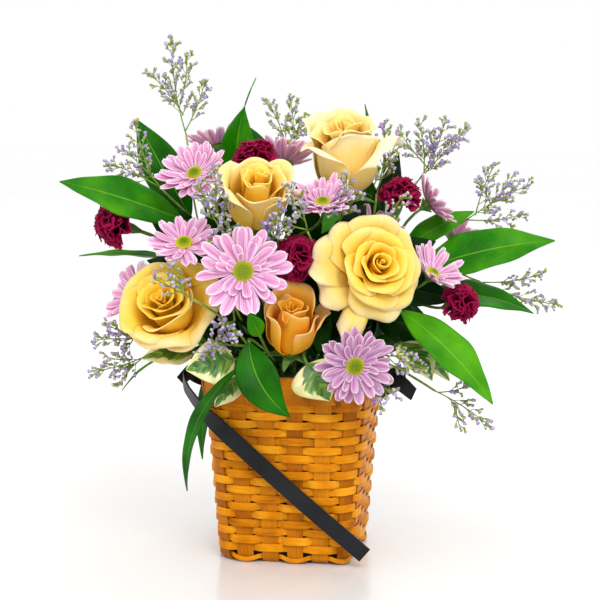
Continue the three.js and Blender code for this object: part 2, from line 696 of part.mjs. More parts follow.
const CREAM_STEMS = [
  {
    name: "cream_leaves_left",
    fork: [-48, -48, 160],
    leaves: [
      { root: [-46, -75, 166], tip: [-82, -87, 160], width: 32, face: [-0.2, -0.95, 0.25], arch: 4 },
      { root: [-78, -56, 168], tip: [-118, -60, 164], width: 26, face: [-0.1, -0.7, 0.7], arch: 4 },
      { root: [-42, -78, 153], tip: [-60, -84, 131], width: 22, face: [-0.3, -0.9, 0.3], arch: 3, cuts: 4 },
    ],
  },
  {
    name: "cream_leaves_front",
    fork: [22, -60, 153],
    leaves: [{ root: [14, -79, 163], tip: [27, -86, 136], width: 37, face: [0, -0.95, 0.3], arch: 3 }],
  },
  {
    name: "cream_leaves_right",
    fork: [70, -26, 162],
    leaves: [
      { root: [84, -44, 174], tip: [106, -66, 148], width: 30, face: [0.3, -0.8, 0.5], arch: 4 },
      { root: [90, -22, 166], tip: [122, -34, 142], width: 26, face: [0.4, -0.6, 0.6], arch: 4, cuts: 4 },
    ],
  },
];

const LEAF_STEM = 1.3; // a leafy stem's radius

function leafyStem(spray, widest) {
  const heads = spray.leaves.map(({ root, tip }) => {
    const way = v3(...tip).sub(v3(...root)).normalize();
    return { at: v3(...root).addScaledVector(way, 1.5), way };
  });
  const blades = spray.leaves.map((leaf) => leafBlade({ widest, ...leaf }));
  return join([forkedStem(spray, heads, LEAF_STEM), ...blades]);
}

// Sea lavender

const FLORET = 1.8;
const TWIG = 0.6;
const TWIG_FLORETS = 3; // on each twig
const LAVENDER_STEM = 1.1;

// A twig from one point to another, with florets standing out on alternate sides up to its tip.
function twig(from, to) {
  const bare = 0.25; // share of the twig below its first floret
  const count = 2 * TWIG_FLORETS;
  const line = [from];
  for (let k = 0; k < count; k++) line.push(from.clone().lerp(to, bare + ((1 - bare) * (k + 0.5)) / count));
  const isFloret = (i) => i > 0 && i % 2 === 0;
  const swell = (i) => (isFloret(i) ? FLORET : TWIG);
  const side = (i) => (isFloret(i) ? (i % 4 === 0 ? 1 : -1) * FLORET * 0.7 : 0);
  return rod(line, swell, side);
}

// Sprays: each has main stems from its fork to an end, with the ends of the twigs on each.
const LAVENDER = [
  {
    name: "lavender_top_left",
    fork: [-76, 16, 258],
    foot: [-28, 22],
    mains: [
      { end: [-98, 30, 408], twigs: [[-72, 26, 374], [-118, 30, 383], [-86, 24, 396]] },
      { end: [-136, 6, 322], twigs: [[-148, -4, 312], [-128, 14, 343]] },
    ],
  },
  {
    name: "lavender_top",
    fork: [-2, 34, 250],
    mains: [{ end: [-4, 82, 362], twigs: [[-22, 80, 358], [12, 82, 346]] }],
  },
  {
    name: "lavender_top_right",
    fork: [60, 44, 250],
    mains: [{ end: [139, 28, 338], twigs: [[121, 22, 344], [100, 28, 342], [84, 32, 336]] }],
  },
  {
    name: "lavender_right",
    fork: [86, 36, 232],
    mains: [
      { end: [191, 34, 292], twigs: [[186, 32, 268], [162, 34, 308]] },
      { end: [218, 46, 192], twigs: [[204, 44, 218]] },
    ],
  },
  {
    name: "lavender_low_right",
    fork: [66, -52, 166],
    mains: [{ end: [152, -62, 111], twigs: [[132, -60, 142], [128, -60, 110]] }],
  },
  {
    name: "lavender_low_left",
    fork: [-74, -10, 172],
    foot: [-38, -12],
    mains: [
      { end: [-158, -34, 150], twigs: [[-138, -34, 140]] },
      { end: [-156, -40, 176], twigs: [[-146, -48, 190]] },
    ],
  },
  {
    name: "lavender_front",
    fork: [-46, -62, 206],
    mains: [
      { end: [-60, -66, 312], twigs: [[-72, -66, 300], [-50, -72, 290]] },
      { end: [-44, -112, 190], twigs: [[-58, -110, 198]] },
    ],
  },
  {
    name: "lavender_middle",
    fork: [24, -52, 228],
    mains: [
      { end: [84, -52, 290], twigs: [[72, -54, 274]] },
      { end: [-4, -94, 300], twigs: [[-16, -90, 276]] },
    ],
  },
];

const TWIGS_START = 0.5; // share of a main stem below its twigs

function lavenderSpray(spray) {
  const start = v3(...spray.fork);
  const heads = spray.mains.map(({ end }) => {
    const tip = v3(...end);
    return { at: start.clone().lerp(tip, TWIGS_START), way: tip.clone().sub(start).normalize() };
  });
  const parts = [forkedStem(spray, heads, LAVENDER_STEM)];
  spray.mains.forEach(({ end, twigs }, m) => {
    const { at, way } = heads[m];
    const tip = v3(...end);
    parts.push(twig(at.clone().addScaledVector(way, -1), tip));
    twigs.forEach((to, k) => {
      const grows = at.clone().lerp(tip, 0.04 + (0.5 * k) / twigs.length);
      parts.push(twig(grows, v3(...to)));
    });
  });
  return join(parts);
}

// The whole arrangement

const wood = { color: 0xc9852f, roughness: 0.5, metalness: 0 };
const LOOKS = {
  basket: wood,
  band: { ...wood, color: 0xb5701f },
  liner: { color: 0x2e3b2c, roughness: 0.5, metalness: 0 },
  foam: { color: 0x2f5a36, roughness: 0.95, metalness: 0 },
  metal: { color: 0x1c1c1e, roughness: 0.35, metalness: 0.9 },
  strap: { color: 0x26282a, roughness: 0.55, metalness: 0 },
  rose: { color: 0xf6cf6a, roughness: 0.6, metalness: 0 },
  gold: { color: 0xf2b23e, roughness: 0.6, metalness: 0 },
  pink: { color: 0xe9b3d8, roughness: 0.65, metalness: 0 },
  magenta: { color: 0x8e0f4e, roughness: 0.7, metalness: 0 },
  green: { color: 0x4f7d34, roughness: 0.6, metalness: 0 },
  leaf: { color: 0x2f8020, roughness: 0.4, metalness: 0 },
  cream: { color: 0xa9bb62, roughness: 0.45, metalness: 0 },
  lavender: { color: 0x9a90b8, roughness: 0.8, metalness: 0 },
};
const materials = Object.fromEntries(
  Object.entries(LOOKS).map(([name, look]) => [name, new THREE.MeshStandardMaterial(look)]),
);

const arrangement = new THREE.Group();
const bouquet = new THREE.Group();
bouquet.rotation.z = BOUQUET_TURN;
arrangement.add(bouquet);

function add(group, name, made, look) {
  const mesh = new THREE.Mesh(geometryOf(made), materials[look]);
  mesh.name = name;
  group.add(mesh);
  return mesh;
}

const byName = (list) => Object.fromEntries(list.map((item) => [item.name, item]));

// A bloom's head: where its stem meets it, so far below its seat.
function headOf({ at, face }, below) {
  const way = v3(...face).normalize();
  return { at: v3(...at).addScaledVector(way, -below), way };
}

const ROSE_STEM = 2.2;
const THIN_STEM = 1.5;

function addRoses() {
  for (const rose of ROSES) {
    const stand = facing(rose.at, rose.face);
    const look = rose.layers === OPEN_ROSE ? "rose" : "gold";
    add(bouquet, `rose_${rose.name}`, roseBloom(rose), look).applyMatrix4(stand);
    const stem = singleStem(headOf(rose, HIP_DEEP), footOf(rose.at), ROSE_STEM);
    add(bouquet, `rose_${rose.name}_stem`, stem.add(placed(roseGreen(rose.radius), stand)), "green");
  }
}

function addDaisies() {
  const named = byName(DAISIES);
  for (const daisy of DAISIES) {
    const rays = add(bouquet, `daisy_${daisy.name}`, daisyRays(daisy), "pink");
    rays.applyMatrix4(facing(daisy.at, daisy.face));
  }
  for (const { name, of, fork } of DAISY_STEMS) {
    const daisies = of.map((one) => named[one]);
    const stem = forkedStem({ fork }, daisies.map((daisy) => headOf(daisy, DISC_FOOT)), THIN_STEM);
    const greens = daisies.map(({ at, face, radius }) => placed(daisyGreen(radius), facing(at, face)));
    add(bouquet, `daisy_stem_${name}`, join([stem, ...greens]), "green");
  }
}

function addCarnations() {
  const named = byName(CARNATIONS);
  CARNATIONS.forEach(({ name, at, face, radius }, i) => {
    const bloom = add(bouquet, `carnation_${name}`, carnationBloom(radius, i + 1), "magenta");
    bloom.applyMatrix4(facing(at, face));
  });
  for (const { name, of, fork } of CARNATION_STEMS) {
    const blooms = of.map((one) => named[one]);
    const stem = forkedStem({ fork }, blooms.map((bloom) => headOf(bloom, CALYX)), THIN_STEM);
    const greens = blooms.map(({ at, face }) => placed(carnationGreen(), facing(at, face)));
    add(bouquet, `carnation_stem_${name}`, join([stem, ...greens]), "green");
  }
}

const LEAF_WIDEST = 0.85;
const CREAM_WIDEST = 0.7;

function addFoliage() {
  for (const stem of LEAF_STEMS) add(bouquet, stem.name, leafyStem(stem, LEAF_WIDEST), "leaf");
  for (const stem of CREAM_STEMS) add(bouquet, stem.name, leafyStem(stem, CREAM_WIDEST), "cream");
  for (const spray of LAVENDER) add(bouquet, spray.name, lavenderSpray(spray), "lavender");
}

function addBasket() {
  add(arrangement, "basket", basket(), "basket");
  add(arrangement, "rim_band", outerBand(), "band");
  add(arrangement, "rim_inner", innerBand(), "band");
  add(arrangement, "liner", liner(), "liner");
  add(arrangement, "ring_left", strapRing(-1), "metal");
  add(arrangement, "ring_right", strapRing(1), "metal");
  add(arrangement, "strap_left", strap(-1), "strap");
  add(arrangement, "strap_right", strap(1), "strap");
  const turn = new THREE.Matrix4().makeRotationZ(BOUQUET_TURN);
  add(arrangement, "foam", foam(holes.map((hole) => placed(hole, turn))), "foam");
}

addRoses();
addDaisies();
addCarnations();
addFoliage();
addBasket();

export default arrangement;
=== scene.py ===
# A flower arrangement in a square woven wood basket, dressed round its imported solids.
# Shapes are made in millimetres and scaled to metres. Flowers are placed in the bouquet's frame, which
# is the basket's frame turned about +Z, so that the camera looks along the bouquet's +y.
import math
import random

import bpy
import numpy as np
from mathutils import Matrix, Vector


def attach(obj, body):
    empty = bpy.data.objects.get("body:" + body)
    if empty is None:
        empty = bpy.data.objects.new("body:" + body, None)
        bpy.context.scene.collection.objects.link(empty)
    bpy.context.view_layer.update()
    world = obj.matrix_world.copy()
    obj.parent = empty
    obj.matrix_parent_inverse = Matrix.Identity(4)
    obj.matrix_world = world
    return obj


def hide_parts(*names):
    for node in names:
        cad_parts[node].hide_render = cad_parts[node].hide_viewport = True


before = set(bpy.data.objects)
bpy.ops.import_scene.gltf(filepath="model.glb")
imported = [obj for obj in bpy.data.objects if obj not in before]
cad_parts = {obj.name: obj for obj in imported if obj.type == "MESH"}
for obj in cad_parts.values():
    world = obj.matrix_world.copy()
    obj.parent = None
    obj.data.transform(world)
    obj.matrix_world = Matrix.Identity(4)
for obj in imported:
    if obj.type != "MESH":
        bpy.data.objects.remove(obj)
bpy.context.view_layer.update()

MM = 0.001
BOUQUET_TURN = math.radians(10)
UP = np.array([0.0, 0.0, 1.0])
GOLDEN_ANGLE = math.pi * (3 - math.sqrt(5))

# The basket, as in its solids
HEIGHT = 150
FOOT_SIDE = 106
FOOT_CORNER = 18
TOP_SIDE = 134
TOP_CORNER = 40
STAKES = 20
ROWS = 18
LASHES = 20
BAND_HEIGHT = 20.6
BAND_FOOT = HEIGHT - BAND_HEIGHT
WEAVE_FOOT = 9
ROW = (BAND_FOOT - WEAVE_FOOT) / ROWS
STRAP_WIDTH = 13
STRAP_THICK = 1.6
FOAM_TOP = 149
STEM_DEPTH = 34
STEM_FAN = 95
ENTRY_SHARE = 0.5


# Vectors


def vec(*values):
    return np.array(values, float)


def unit(vector):
    vector = np.asarray(vector, float)
    return vector / (np.linalg.norm(vector, axis=-1, keepdims=True) + 1e-12)


def blend(a, b, share):
    return a + (b - a) * share


# A rotation about +Z
def about_z(angle):
    return np.array(Matrix.Rotation(angle, 3, "Z"))


# The rotation that turns +Z to a direction
def facing(face):
    return np.array(Vector((0, 0, 1)).rotation_difference(Vector(face)).to_matrix())


# Where a flower sits, and the rotation that turns it to its face
def seat(flower):
    return vec(*flower["at"]), facing(flower["face"])


# A sheet's shares along it, as a column, and its places from -1 to 1 across it, as a row
def along_and_across(steps, wide):
    return np.linspace(0, 1, steps)[:, None], np.linspace(-1, 1, wide)[None, :]


# Rows of points by their distances out, sideways and up, spun about +Z
def spun(out, side, up, spin):
    return np.stack(np.broadcast_arrays(out, side, up), axis=-1) @ about_z(spin).T


def quads(grid):
    corners = grid[:-1, :-1], grid[:-1, 1:], grid[1:, 1:], grid[1:, :-1]
    return np.stack([corner.ravel() for corner in corners], axis=1)


# Points, faces and each point's place (along, across and share) gathered for one mesh
class Shape:
    def __init__(self):
        self.points = []
        self.places = []
        self.faces = []
        self.count = 0

    def add(self, points, faces, places):
        points = np.asarray(points, float).reshape(-1, 3)
        self.points.append(points)
        self.places.append(np.broadcast_to(places, points.shape))
        self.faces.extend([[i + self.count for i in face] for face in faces])
        self.count += len(points)

    # A thin closed sheet over rows of points, with its place along, across and the share given.
    def sheet(self, rows, thick, share):
        cuts, wide = rows.shape[:2]
        size = cuts * wide
        normal = unit(np.cross(np.gradient(rows, axis=1), np.gradient(rows, axis=0)))
        sides = [rows + normal * thick / 2, rows - normal * thick / 2]
        grid = np.arange(size).reshape(cuts, wide)
        top = quads(grid)
        rim = np.concatenate([grid[0], grid[1:, -1], grid[-1, -2::-1], grid[-2:0:-1, 0]])
        after = np.roll(rim, -1)
        edge = np.stack([after, rim, rim + size, after + size], axis=1)
        faces = np.concatenate([top, top[:, ::-1] + size, edge]).tolist()
        places = np.zeros((cuts, wide, 3))
        places[..., 0] = np.linspace(0, 1, cuts)[:, None]
        places[..., 1] = np.linspace(-1, 1, wide)[None, :]
        places[..., 2] = share
        places = places.reshape(-1, 3)
        self.add(np.concatenate(sides).reshape(-1, 3), faces, np.concatenate([places, places]))

    # A closed solid through rings of points. A hoop's last ring meets its first.
    def skin(self, rings, places, hoop=False):
        count, sides = rings.shape[:2]
        grid = np.arange(count * sides).reshape(count, sides)
        grid = np.concatenate([grid, grid[:, :1]], axis=1)
        if hoop:
            faces = quads(np.concatenate([grid, grid[:1]])).tolist()
        else:
            faces = quads(grid).tolist()
            faces += [grid[0, -2::-1].tolist(), grid[-1, :-1].tolist()]
        self.add(rings.reshape(-1, 3), faces, places)

    # A round tube along points, with a radius for each.
    def tube(self, line, radii, sides):
        line = np.asarray(line, float)
        along = unit(np.gradient(line, axis=0))
        side = unit(np.cross(along[0], vec(0.31, 0.72, 0.61)))
        radii = np.broadcast_to(radii, len(line))
        turns = np.linspace(0, 2 * math.pi, sides, endpoint=False)
        rings = np.empty((len(line), sides, 3))
        for i, (point, way) in enumerate(zip(line, along)):
            side = unit(side - way * side.dot(way))
            over = np.cross(way, side)
            ring = np.outer(np.cos(turns), side) + np.outer(np.sin(turns), over)
            rings[i] = point + radii[i] * ring
        places = np.zeros((len(line), sides, 3))
        places[..., 0] = np.linspace(0, 1, len(line))[:, None]
        places[..., 1] = np.cos(turns)
        self.skin(rings, places.reshape(-1, 3))

    # A strip of a given section, as (across, out) points, along a line with its outward directions.
    def strip(self, line, outs, section, share=0.0, hoop=False):
        line = np.asarray(line, float)
        if hoop:
            way = unit(np.roll(line, -1, axis=0) - np.roll(line, 1, axis=0))
        else:
            way = unit(np.gradient(line, axis=0))
        across = unit(np.cross(outs, way))
        out = np.cross(way, across)
        section = np.asarray(section, float)
        rings = line[:, None] + across[:, None] * section[:, :1] + out[:, None] * section[:, 1:]
        steps = np.linalg.norm(np.diff(line, axis=0), axis=1)
        places = np.zeros(rings.shape)
        places[..., 0] = np.concatenate([[0], np.cumsum(steps)])[:, None] / 10
        places[..., 1] = section[:, 0] / 10
        places[..., 2] = share
        self.skin(rings, places.reshape(-1, 3), hoop)

    # A solid turned about +Z from a profile of (radius, height), placed by a rotation and a point.
    def turned(self, profile, sides, turn, at, share=0.0):
        angles = np.linspace(0, 2 * math.pi, sides, endpoint=False)
        rings = np.array([[(r * math.cos(a), r * math.sin(a), z) for a in angles] for r, z in profile])
        places = np.zeros(rings.shape)
        places[..., 0] = np.linspace(0, 1, len(profile))[:, None]
        places[..., 2] = share
        self.skin(rings @ turn.T + at, places.reshape(-1, 3))


# An object from its data, linked to the scene
def add_object(name, data):
    made = bpy.data.objects.new(name, data)
    bpy.context.scene.collection.objects.link(made)
    return made


# Makes a piece from a shape: an object that rides on the body, replaces solids and takes a finish.
def piece(name, shape, look, slot, *nodes, turn=0.0):
    points = np.concatenate(shape.points) * MM
    points = points @ about_z(turn).T
    mesh = bpy.data.meshes.new(name)
    mesh.from_pydata(points.tolist(), [], shape.faces)
    places = mesh.attributes.new("place", "FLOAT_VECTOR", "POINT")
    places.data.foreach_set("vector", np.concatenate(shape.places).astype(np.float32).ravel())
    mesh.shade_smooth()
    mesh.materials.append(look)
    made = add_object(name, mesh)
    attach(made, "root")
    if nodes:
        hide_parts(*nodes)
    return made


SHARP_ANGLE = math.radians(35)


# A piece of the basket, with its hard edges kept sharp
def basket_piece(name, shape, look, slot, *nodes):
    made = piece(name, shape, look, slot, *nodes)
    made.data.set_sharp_from_angle(angle=SHARP_ANGLE)


# A piece of the bouquet, placed in the bouquet's frame
def bouquet_piece(name, shape, look, slot, *nodes):
    piece(name, shape, look, slot, *nodes, turn=BOUQUET_TURN)


# Materials


# A colour from its six hex digits, as Blender's linear values
def colour(code):
    parts = [int(code[i : i + 2], 16) / 255 for i in (0, 2, 4)]
    linear = [c / 12.92 if c < 0.04045 else ((c + 0.055) / 1.055) ** 2.4 for c in parts]
    return (*linear, 1.0)


# A material and its nodes, made one after another
class Look:
    def __init__(self, name, specular_level=0.4, **values):
        self.made = bpy.data.materials.new(name)
        self.made.use_nodes = True
        self.tree = self.made.node_tree
        self.shader = self.tree.nodes["Principled BSDF"]
        self.shader.inputs["Specular IOR Level"].default_value = specular_level
        for socket, value in values.items():
            self.shader.inputs[socket.replace("_", " ").title()].default_value = value
        place = self.node("Attribute", attribute_name="place").outputs["Vector"]
        self.along, self.across, self.share = self.node("SeparateXYZ", {0: place}).outputs

    def node(self, kind, inputs=None, **settings):
        made = self.tree.nodes.new("ShaderNode" + kind)
        for name, value in settings.items():
            setattr(made, name, value)
        for socket, value in (inputs or {}).items():
            if isinstance(value, bpy.types.NodeSocket):
                self.tree.links.new(value, made.inputs[socket])
            else:
                made.inputs[socket].default_value = value
        return made

    def math(self, operation, a, b=0.0, clamp=False):
        return self.node("Math", {0: a, 1: b}, operation=operation, use_clamp=clamp).outputs[0]

    def times(self, value, factor):
        return self.math("MULTIPLY", value, factor)

    def less_half(self, value):
        return self.math("SUBTRACT", value, 0.5)

    # The sum of values, each times its weight
    def weighted(self, *parts):
        total = self.times(*parts[0])
        for value, weight in parts[1:]:
            total = self.math("ADD", total, self.times(value, weight))
        return total

    def vector(self, x, y, z):
        return self.node("CombineXYZ", {0: x, 1: y, 2: z}).outputs[0]

    def noise(self, scale, detail, at=None):
        if at is None:
            at = self.node("TexCoord").outputs["Object"]
        return self.node("TexNoise", {"Vector": at, "Scale": scale, "Detail": detail}).outputs["Fac"]

    # Noise that follows the piece. The three factors say how fast it changes along, across and by share.
    def grain(self, scale, detail, along, across, share):
        at = [self.times(self.along, along), self.times(self.across, across), self.times(self.share, share)]
        return self.noise(scale, detail, self.vector(*at))

    # A value carried over from one range to another, and held at its ends
    def carried(self, value, start, end, low=0.0, high=1.0):
        inputs = {"Value": value, "From Min": start, "From Max": end, "To Min": low, "To Max": high}
        return self.node("MapRange", inputs).outputs[0]

    def ramp(self, value, *stops):
        made = self.node("ValToRGB", {0: value})
        elements = made.color_ramp.elements
        while len(elements) < len(stops):
            elements.new(0.5)
        for element, (position, code) in zip(elements, stops):
            element.position = position
            element.color = colour(code)
        return made.outputs[0]

    # The inputs numbered 0, 6 and 7 of a Mix node are its factor and its two colours.
    def mix(self, share, a, b, kind="MIX"):
        return self.node("Mix", {0: share, 6: a, 7: b}, data_type="RGBA", blend_type=kind).outputs[2]

    def paint(self, value):
        self.tree.links.new(value, self.shader.inputs["Base Color"])

    def rough(self, value, low, high):
        self.tree.links.new(self.carried(value, 0.0, 1.0, low, high), self.shader.inputs["Roughness"])

    def bump(self, height, strength, distance):
        made = self.node("Bump", {"Height": height, "Strength": strength, "Distance": distance * MM})
        self.tree.links.new(made.outputs[0], self.shader.inputs["Normal"])

    # Gives the look its colours by tone, its range of roughness and its bump, and hands out the material.
    def finish(self, tone, stops, rough, bump):
        self.paint(self.ramp(tone, *stops))
        self.rough(*rough)
        self.bump(*bump)
        return self.made


# A look whose colours, roughness and bump all follow one noise
def plain_look(name, noise, stops, rough, bump, **values):
    look = Look(name, **values)
    marks = look.noise(*noise)
    return look.finish(marks, stops, (marks, *rough), (marks, *bump))


# Varnished chip wood. Its grain runs along each strip, and share makes each strip its own tone.
def wood_look(name, dark, middle, light):
    look = Look(name, specular_level=0.1)
    grain = look.grain(2.6, 6.0, along=0.35, across=9.0, share=37.0)
    broad = look.grain(1.0, 1.0, along=0.55, across=0.4, share=91.0)
    tone = look.weighted((broad, 0.75), (look.noise(45.0, 2.0), 0.25))
    tone = look.weighted((grain, 0.42), (tone, 0.62), (look.less_half(look.share), 0.14))
    stops = [(0.3, dark), (0.5, middle), (0.7, light)]
    return look.finish(tone, stops, rough=(grain, 0.3, 0.46), bump=(grain, 0.35, 0.25))


def strap_look():
    look = Look("strap_satin", specular_level=0.22)
    pores = look.noise(900.0, 4.0)
    # Broad noise patches painted lighter: painted sheen on the satin. The same patches also vary the
    # roughness.
    sheen_patches = look.noise(26.0, 2.0)
    tone = look.weighted((pores, 0.45), (sheen_patches, 0.55))
    stops = [(0.36, "08090b"), (0.64, "1c1f22")]
    return look.finish(tone, stops, rough=(sheen_patches, 0.34, 0.52), bump=(pores, 0.25, 0.15))


# A soft petal: deep at its foot, pale at its lip, with fine veins. share goes from heart to outside.
def petal_look(name, deep, middle, pale, rim):
    soft = dict(subsurface_weight=0.5, subsurface_scale=0.006, subsurface_radius=(0.5, 0.5, 0.5))
    look = Look(name, specular_level=0.16, **soft)
    streaks = look.grain(1.6, 4.0, along=1.2, across=14.0, share=50.0)
    patches = look.noise(70.0, 2.0)
    tone = look.weighted(
        (look.math("POWER", look.along, 3.0), 0.5),
        (look.share, 0.55),
        (look.less_half(streaks), 0.22),
        (look.less_half(patches), 0.3),
    )
    stops = [(0.1, deep), (0.38, middle), (0.72, pale), (0.98, rim)]
    return look.finish(tone, stops, rough=(streaks, 0.42, 0.6), bump=(streaks, 0.22, 0.3))


# A daisy's ray: deeper along its middle and grooves, with pale edges and tip
def ray_look(name, deep, middle, pale):
    look = Look(name, specular_level=0.2, subsurface_weight=0.2, subsurface_scale=0.003)
    streaks = look.grain(1.5, 3.0, along=0.8, across=6.0, share=50.0)
    edge = look.math("POWER", look.math("ABSOLUTE", look.across), 1.6)
    tip = look.math("POWER", look.along, 3.0)
    tone = look.weighted((edge, 0.24), (tip, 0.28), (streaks, 0.85))
    stops = [(0.25, deep), (0.5, middle), (0.85, pale)]
    return look.finish(tone, stops, rough=(streaks, 0.45, 0.6), bump=(streaks, 0.3, 0.25))


def disc_look():
    look = Look("daisy_disc")
    fine = look.noise(600.0, 3.0)
    tone = look.weighted((look.share, 0.75), (fine, 0.3))
    stops = [(0.15, "748c06"), (0.5, "aebc08"), (0.95, "e6d420")]
    return look.finish(tone, stops, rough=(fine, 0.55, 0.75), bump=(fine, 0.5, 0.3))


# Magenta petals, darker towards each petal's foot down to near black: painted shade deep inside the bloom.
# Random streaks run along them.
def carnation_look():
    look = Look("magenta_ruffle", specular_level=0.15)
    streaks = look.grain(1.8, 4.0, along=1.5, across=8.0, share=60.0)
    tone = look.weighted((look.along, 0.6), (streaks, 0.4))
    stops = [(0.25, "140004"), (0.55, "540020"), (0.9, "ac004a")]
    return look.finish(tone, stops, rough=(streaks, 0.5, 0.7), bump=(streaks, 0.4, 0.3))


# A glossy leaf with a pale midrib and side veins that lean towards the tip
def leaf_look(name, dark, middle, light, rib):
    look = Look(name, specular_level=0.1)
    side = look.math("ABSOLUTE", look.across)
    lean = look.weighted((look.along, 16.0), (side, -3.6))
    wander = look.times(look.noise(60.0, 2.0), 1.2)
    wave = look.math("SINE", look.times(look.math("ADD", lean, wander), 2 * math.pi))
    veins = look.math("POWER", look.math("MAXIMUM", wave, 0.0), 10.0)
    patches = look.noise(38.0, 4.0)
    tone = look.weighted((patches, 0.7), (look.share, 0.45))
    blade = look.ramp(tone, (0.25, dark), (0.55, middle), (0.85, light))
    midrib = look.carried(side, 0.01, 0.05, 1.0, 0.0)
    shown = look.math("ADD", midrib, look.times(veins, 0.05), clamp=True)
    look.paint(look.mix(look.times(shown, 0.4), blade, colour(rib)))
    look.rough(patches, 0.28, 0.42)
    look.bump(look.weighted((veins, -0.6), (patches, 0.8)), 0.3, 0.5)
    return look.made


# A cream-edged leaf: green runs out from the midrib in ragged streaks, and the edge is cream.
def cream_look():
    look = Look("cream_edged_leaf", coat_weight=0.2, coat_roughness=0.25)
    side = look.math("ABSOLUTE", look.across)
    lean = look.weighted((look.along, 9.0), (side, -3.0))
    ragged = look.noise(1.3, 4.0, look.vector(lean, look.times(look.across, 0.6), look.share))
    reach = look.math("ADD", look.times(ragged, 0.95), 0.06)
    green = look.carried(look.math("SUBTRACT", reach, side), -0.05, 0.05)
    streaks = look.noise(1.6, 3.0, look.vector(lean, look.across, look.share))
    greens = look.ramp(streaks, (0.35, "2b5a1c"), (0.52, "4d8527"), (0.7, "8fae3e"))
    creams = look.ramp(look.noise(50.0, 2.0), (0.3, "d8d38a"), (0.7, "efeab4"))
    look.paint(look.mix(green, creams, greens))
    look.rough(ragged, 0.32, 0.48)
    look.bump(ragged, 0.3, 0.5)
    return look.made


def stem_look(name, dark, light):
    look = Look(name)
    streaks = look.grain(1.5, 3.0, along=6.0, across=1.0, share=1.0)
    fine = look.noise(220.0, 3.0)
    tone = look.weighted((streaks, 0.5), (fine, 0.5))
    stops = [(0.3, dark), (0.7, light)]
    return look.finish(tone, stops, rough=(fine, 0.45, 0.65), bump=(fine, 0.25, 0.3))


# A floret from its green foot to its violet tip
def floret_look():
    look = Look("lavender_floret")
    fine = look.noise(900.0, 2.0)
    tone = look.weighted((look.along, 0.6), (look.share, 0.4))
    stops = [(0.1, "628416"), (0.46, "a2b04c"), (0.66, "c6b6dc"), (0.92, "7c5cb4")]
    return look.finish(tone, stops, rough=(fine, 0.6, 0.8), bump=(fine, 0.3, 0.2))


# The basket


# A point of a rounded square and its outward normal, by share of the way round from the front's middle.
def rounded_square(side, corner, share):
    straight = side / 2 - corner
    quarter = 2 * straight + math.pi / 2 * corner
    turns = np.floor(share * 4 + 0.5)
    along = (share * 4 - turns) * quarter
    bend = np.maximum(0, np.abs(along) - straight) / corner
    sign = np.sign(along)
    x = sign * np.minimum(np.abs(along), straight) + sign * corner * np.sin(bend)
    y = -straight - corner * np.cos(bend)
    cos, sin = np.cos(turns * math.pi / 2), np.sin(turns * math.pi / 2)
    nx, ny = sign * np.sin(bend), -np.cos(bend)
    at = np.stack([x * cos - y * sin, x * sin + y * cos], axis=-1)
    normal = np.stack([nx * cos - ny * sin, nx * sin + ny * cos], axis=-1)
    return at, normal


# Points of the basket's wall, moved out by offset, and their outward normals.
def wall(height, share, offset):
    share, height, offset = np.broadcast_arrays(*(np.asarray(a, float) for a in (share, height, offset)))
    foot, foot_normal = rounded_square(FOOT_SIDE, FOOT_CORNER, share)
    rim, rim_normal = rounded_square(TOP_SIDE, TOP_CORNER, share)
    up = (height / HEIGHT)[..., None]
    normal = unit(blend(foot_normal, rim_normal, up))
    at = blend(foot, rim, up) + normal * offset[..., None]
    points = np.concatenate([at, height[..., None]], axis=-1)
    return points, np.concatenate([normal, np.zeros_like(up)], axis=-1)


# A flat strip's section with a little crown: its half height, its thickness and its crown.
def strip_section(half, thick, crown):
    outside = [(-half, 0), (-half * 0.8, crown * 0.5), (-half * 0.4, crown), (half * 0.4, crown)]
    outside += [(half * 0.8, crown * 0.5), (half, 0)]
    return [(a, out + thick / 2) for a, out in outside] + [(half, -thick / 2), (-half, -thick / 2)]


STAKE_OUT = -0.3  # a stake's outer face, from the plain wall
STAKE_THICK = 0.9
STAKE_HALF = 7.2
QUARTER_STAKES = STAKES // 4
STAKE_TURN_IN = 46  # how far a stake runs in under the foot
CORNER_TURN_IN = 24
WEAVER_THICK = 0.8
WEAVER_CROWN = 0.3
WEAVER_BULGE = 0.25
WEAVER_GAP = 0.15  # between a stake's inner face and the weaver behind it
OVER = 1.7  # a weaver's outer face where it passes over a stake
STEPS_PER_STAKE = 16


# A strip right round the basket's wall
def hoop(shape, height, share, offset, section, tone):
    line, outs = wall(height, share, offset)
    shape.strip(line[::-1], outs[::-1], section, tone, hoop=True)


def weavers():
    chance = random.Random(3)
    shape = Shape()
    count = STAKES * STEPS_PER_STAKE
    share = np.arange(count) / count
    high = OVER - WEAVER_THICK / 2 - WEAVER_CROWN
    low = STAKE_OUT - STAKE_THICK - WEAVER_THICK / 2 - WEAVER_GAP
    for row in range(ROWS):
        pass_over = np.cos(math.pi * (share * STAKES - 0.5 + row + 1))
        eased = np.tanh(3.2 * pass_over)
        bulge = WEAVER_BULGE * np.maximum(pass_over, 0) ** 2
        offset = (high + low) / 2 + (high - low) / 2 * eased + bulge - WEAVER_BULGE
        drift = 0.25 * np.sin(2 * math.pi * (share * 3 + chance.random()))
        height = WEAVE_FOOT + (row + 0.5) * ROW + drift + 0.3 * eased * chance.uniform(-1, 1)
        section = strip_section(ROW / 2 - chance.uniform(0.12, 0.4), WEAVER_THICK, WEAVER_CROWN)
        hoop(shape, height, share, offset, section, chance.random())
    # The narrow weaver at the foot, hanging in loops under a dark gap
    pass_over = np.cos(math.pi * (share * STAKES - 0.5))
    eased = np.tanh(1.5 * pass_over)
    loop = np.maximum(pass_over, 0) ** 2
    height = 4.6 - 1.3 * eased - 0.7 * loop
    hoop(shape, height, share, -1.3 + 1.9 * eased + 0.8 * loop, strip_section(1.7, WEAVER_THICK, 0.2), 0.5)
    return shape


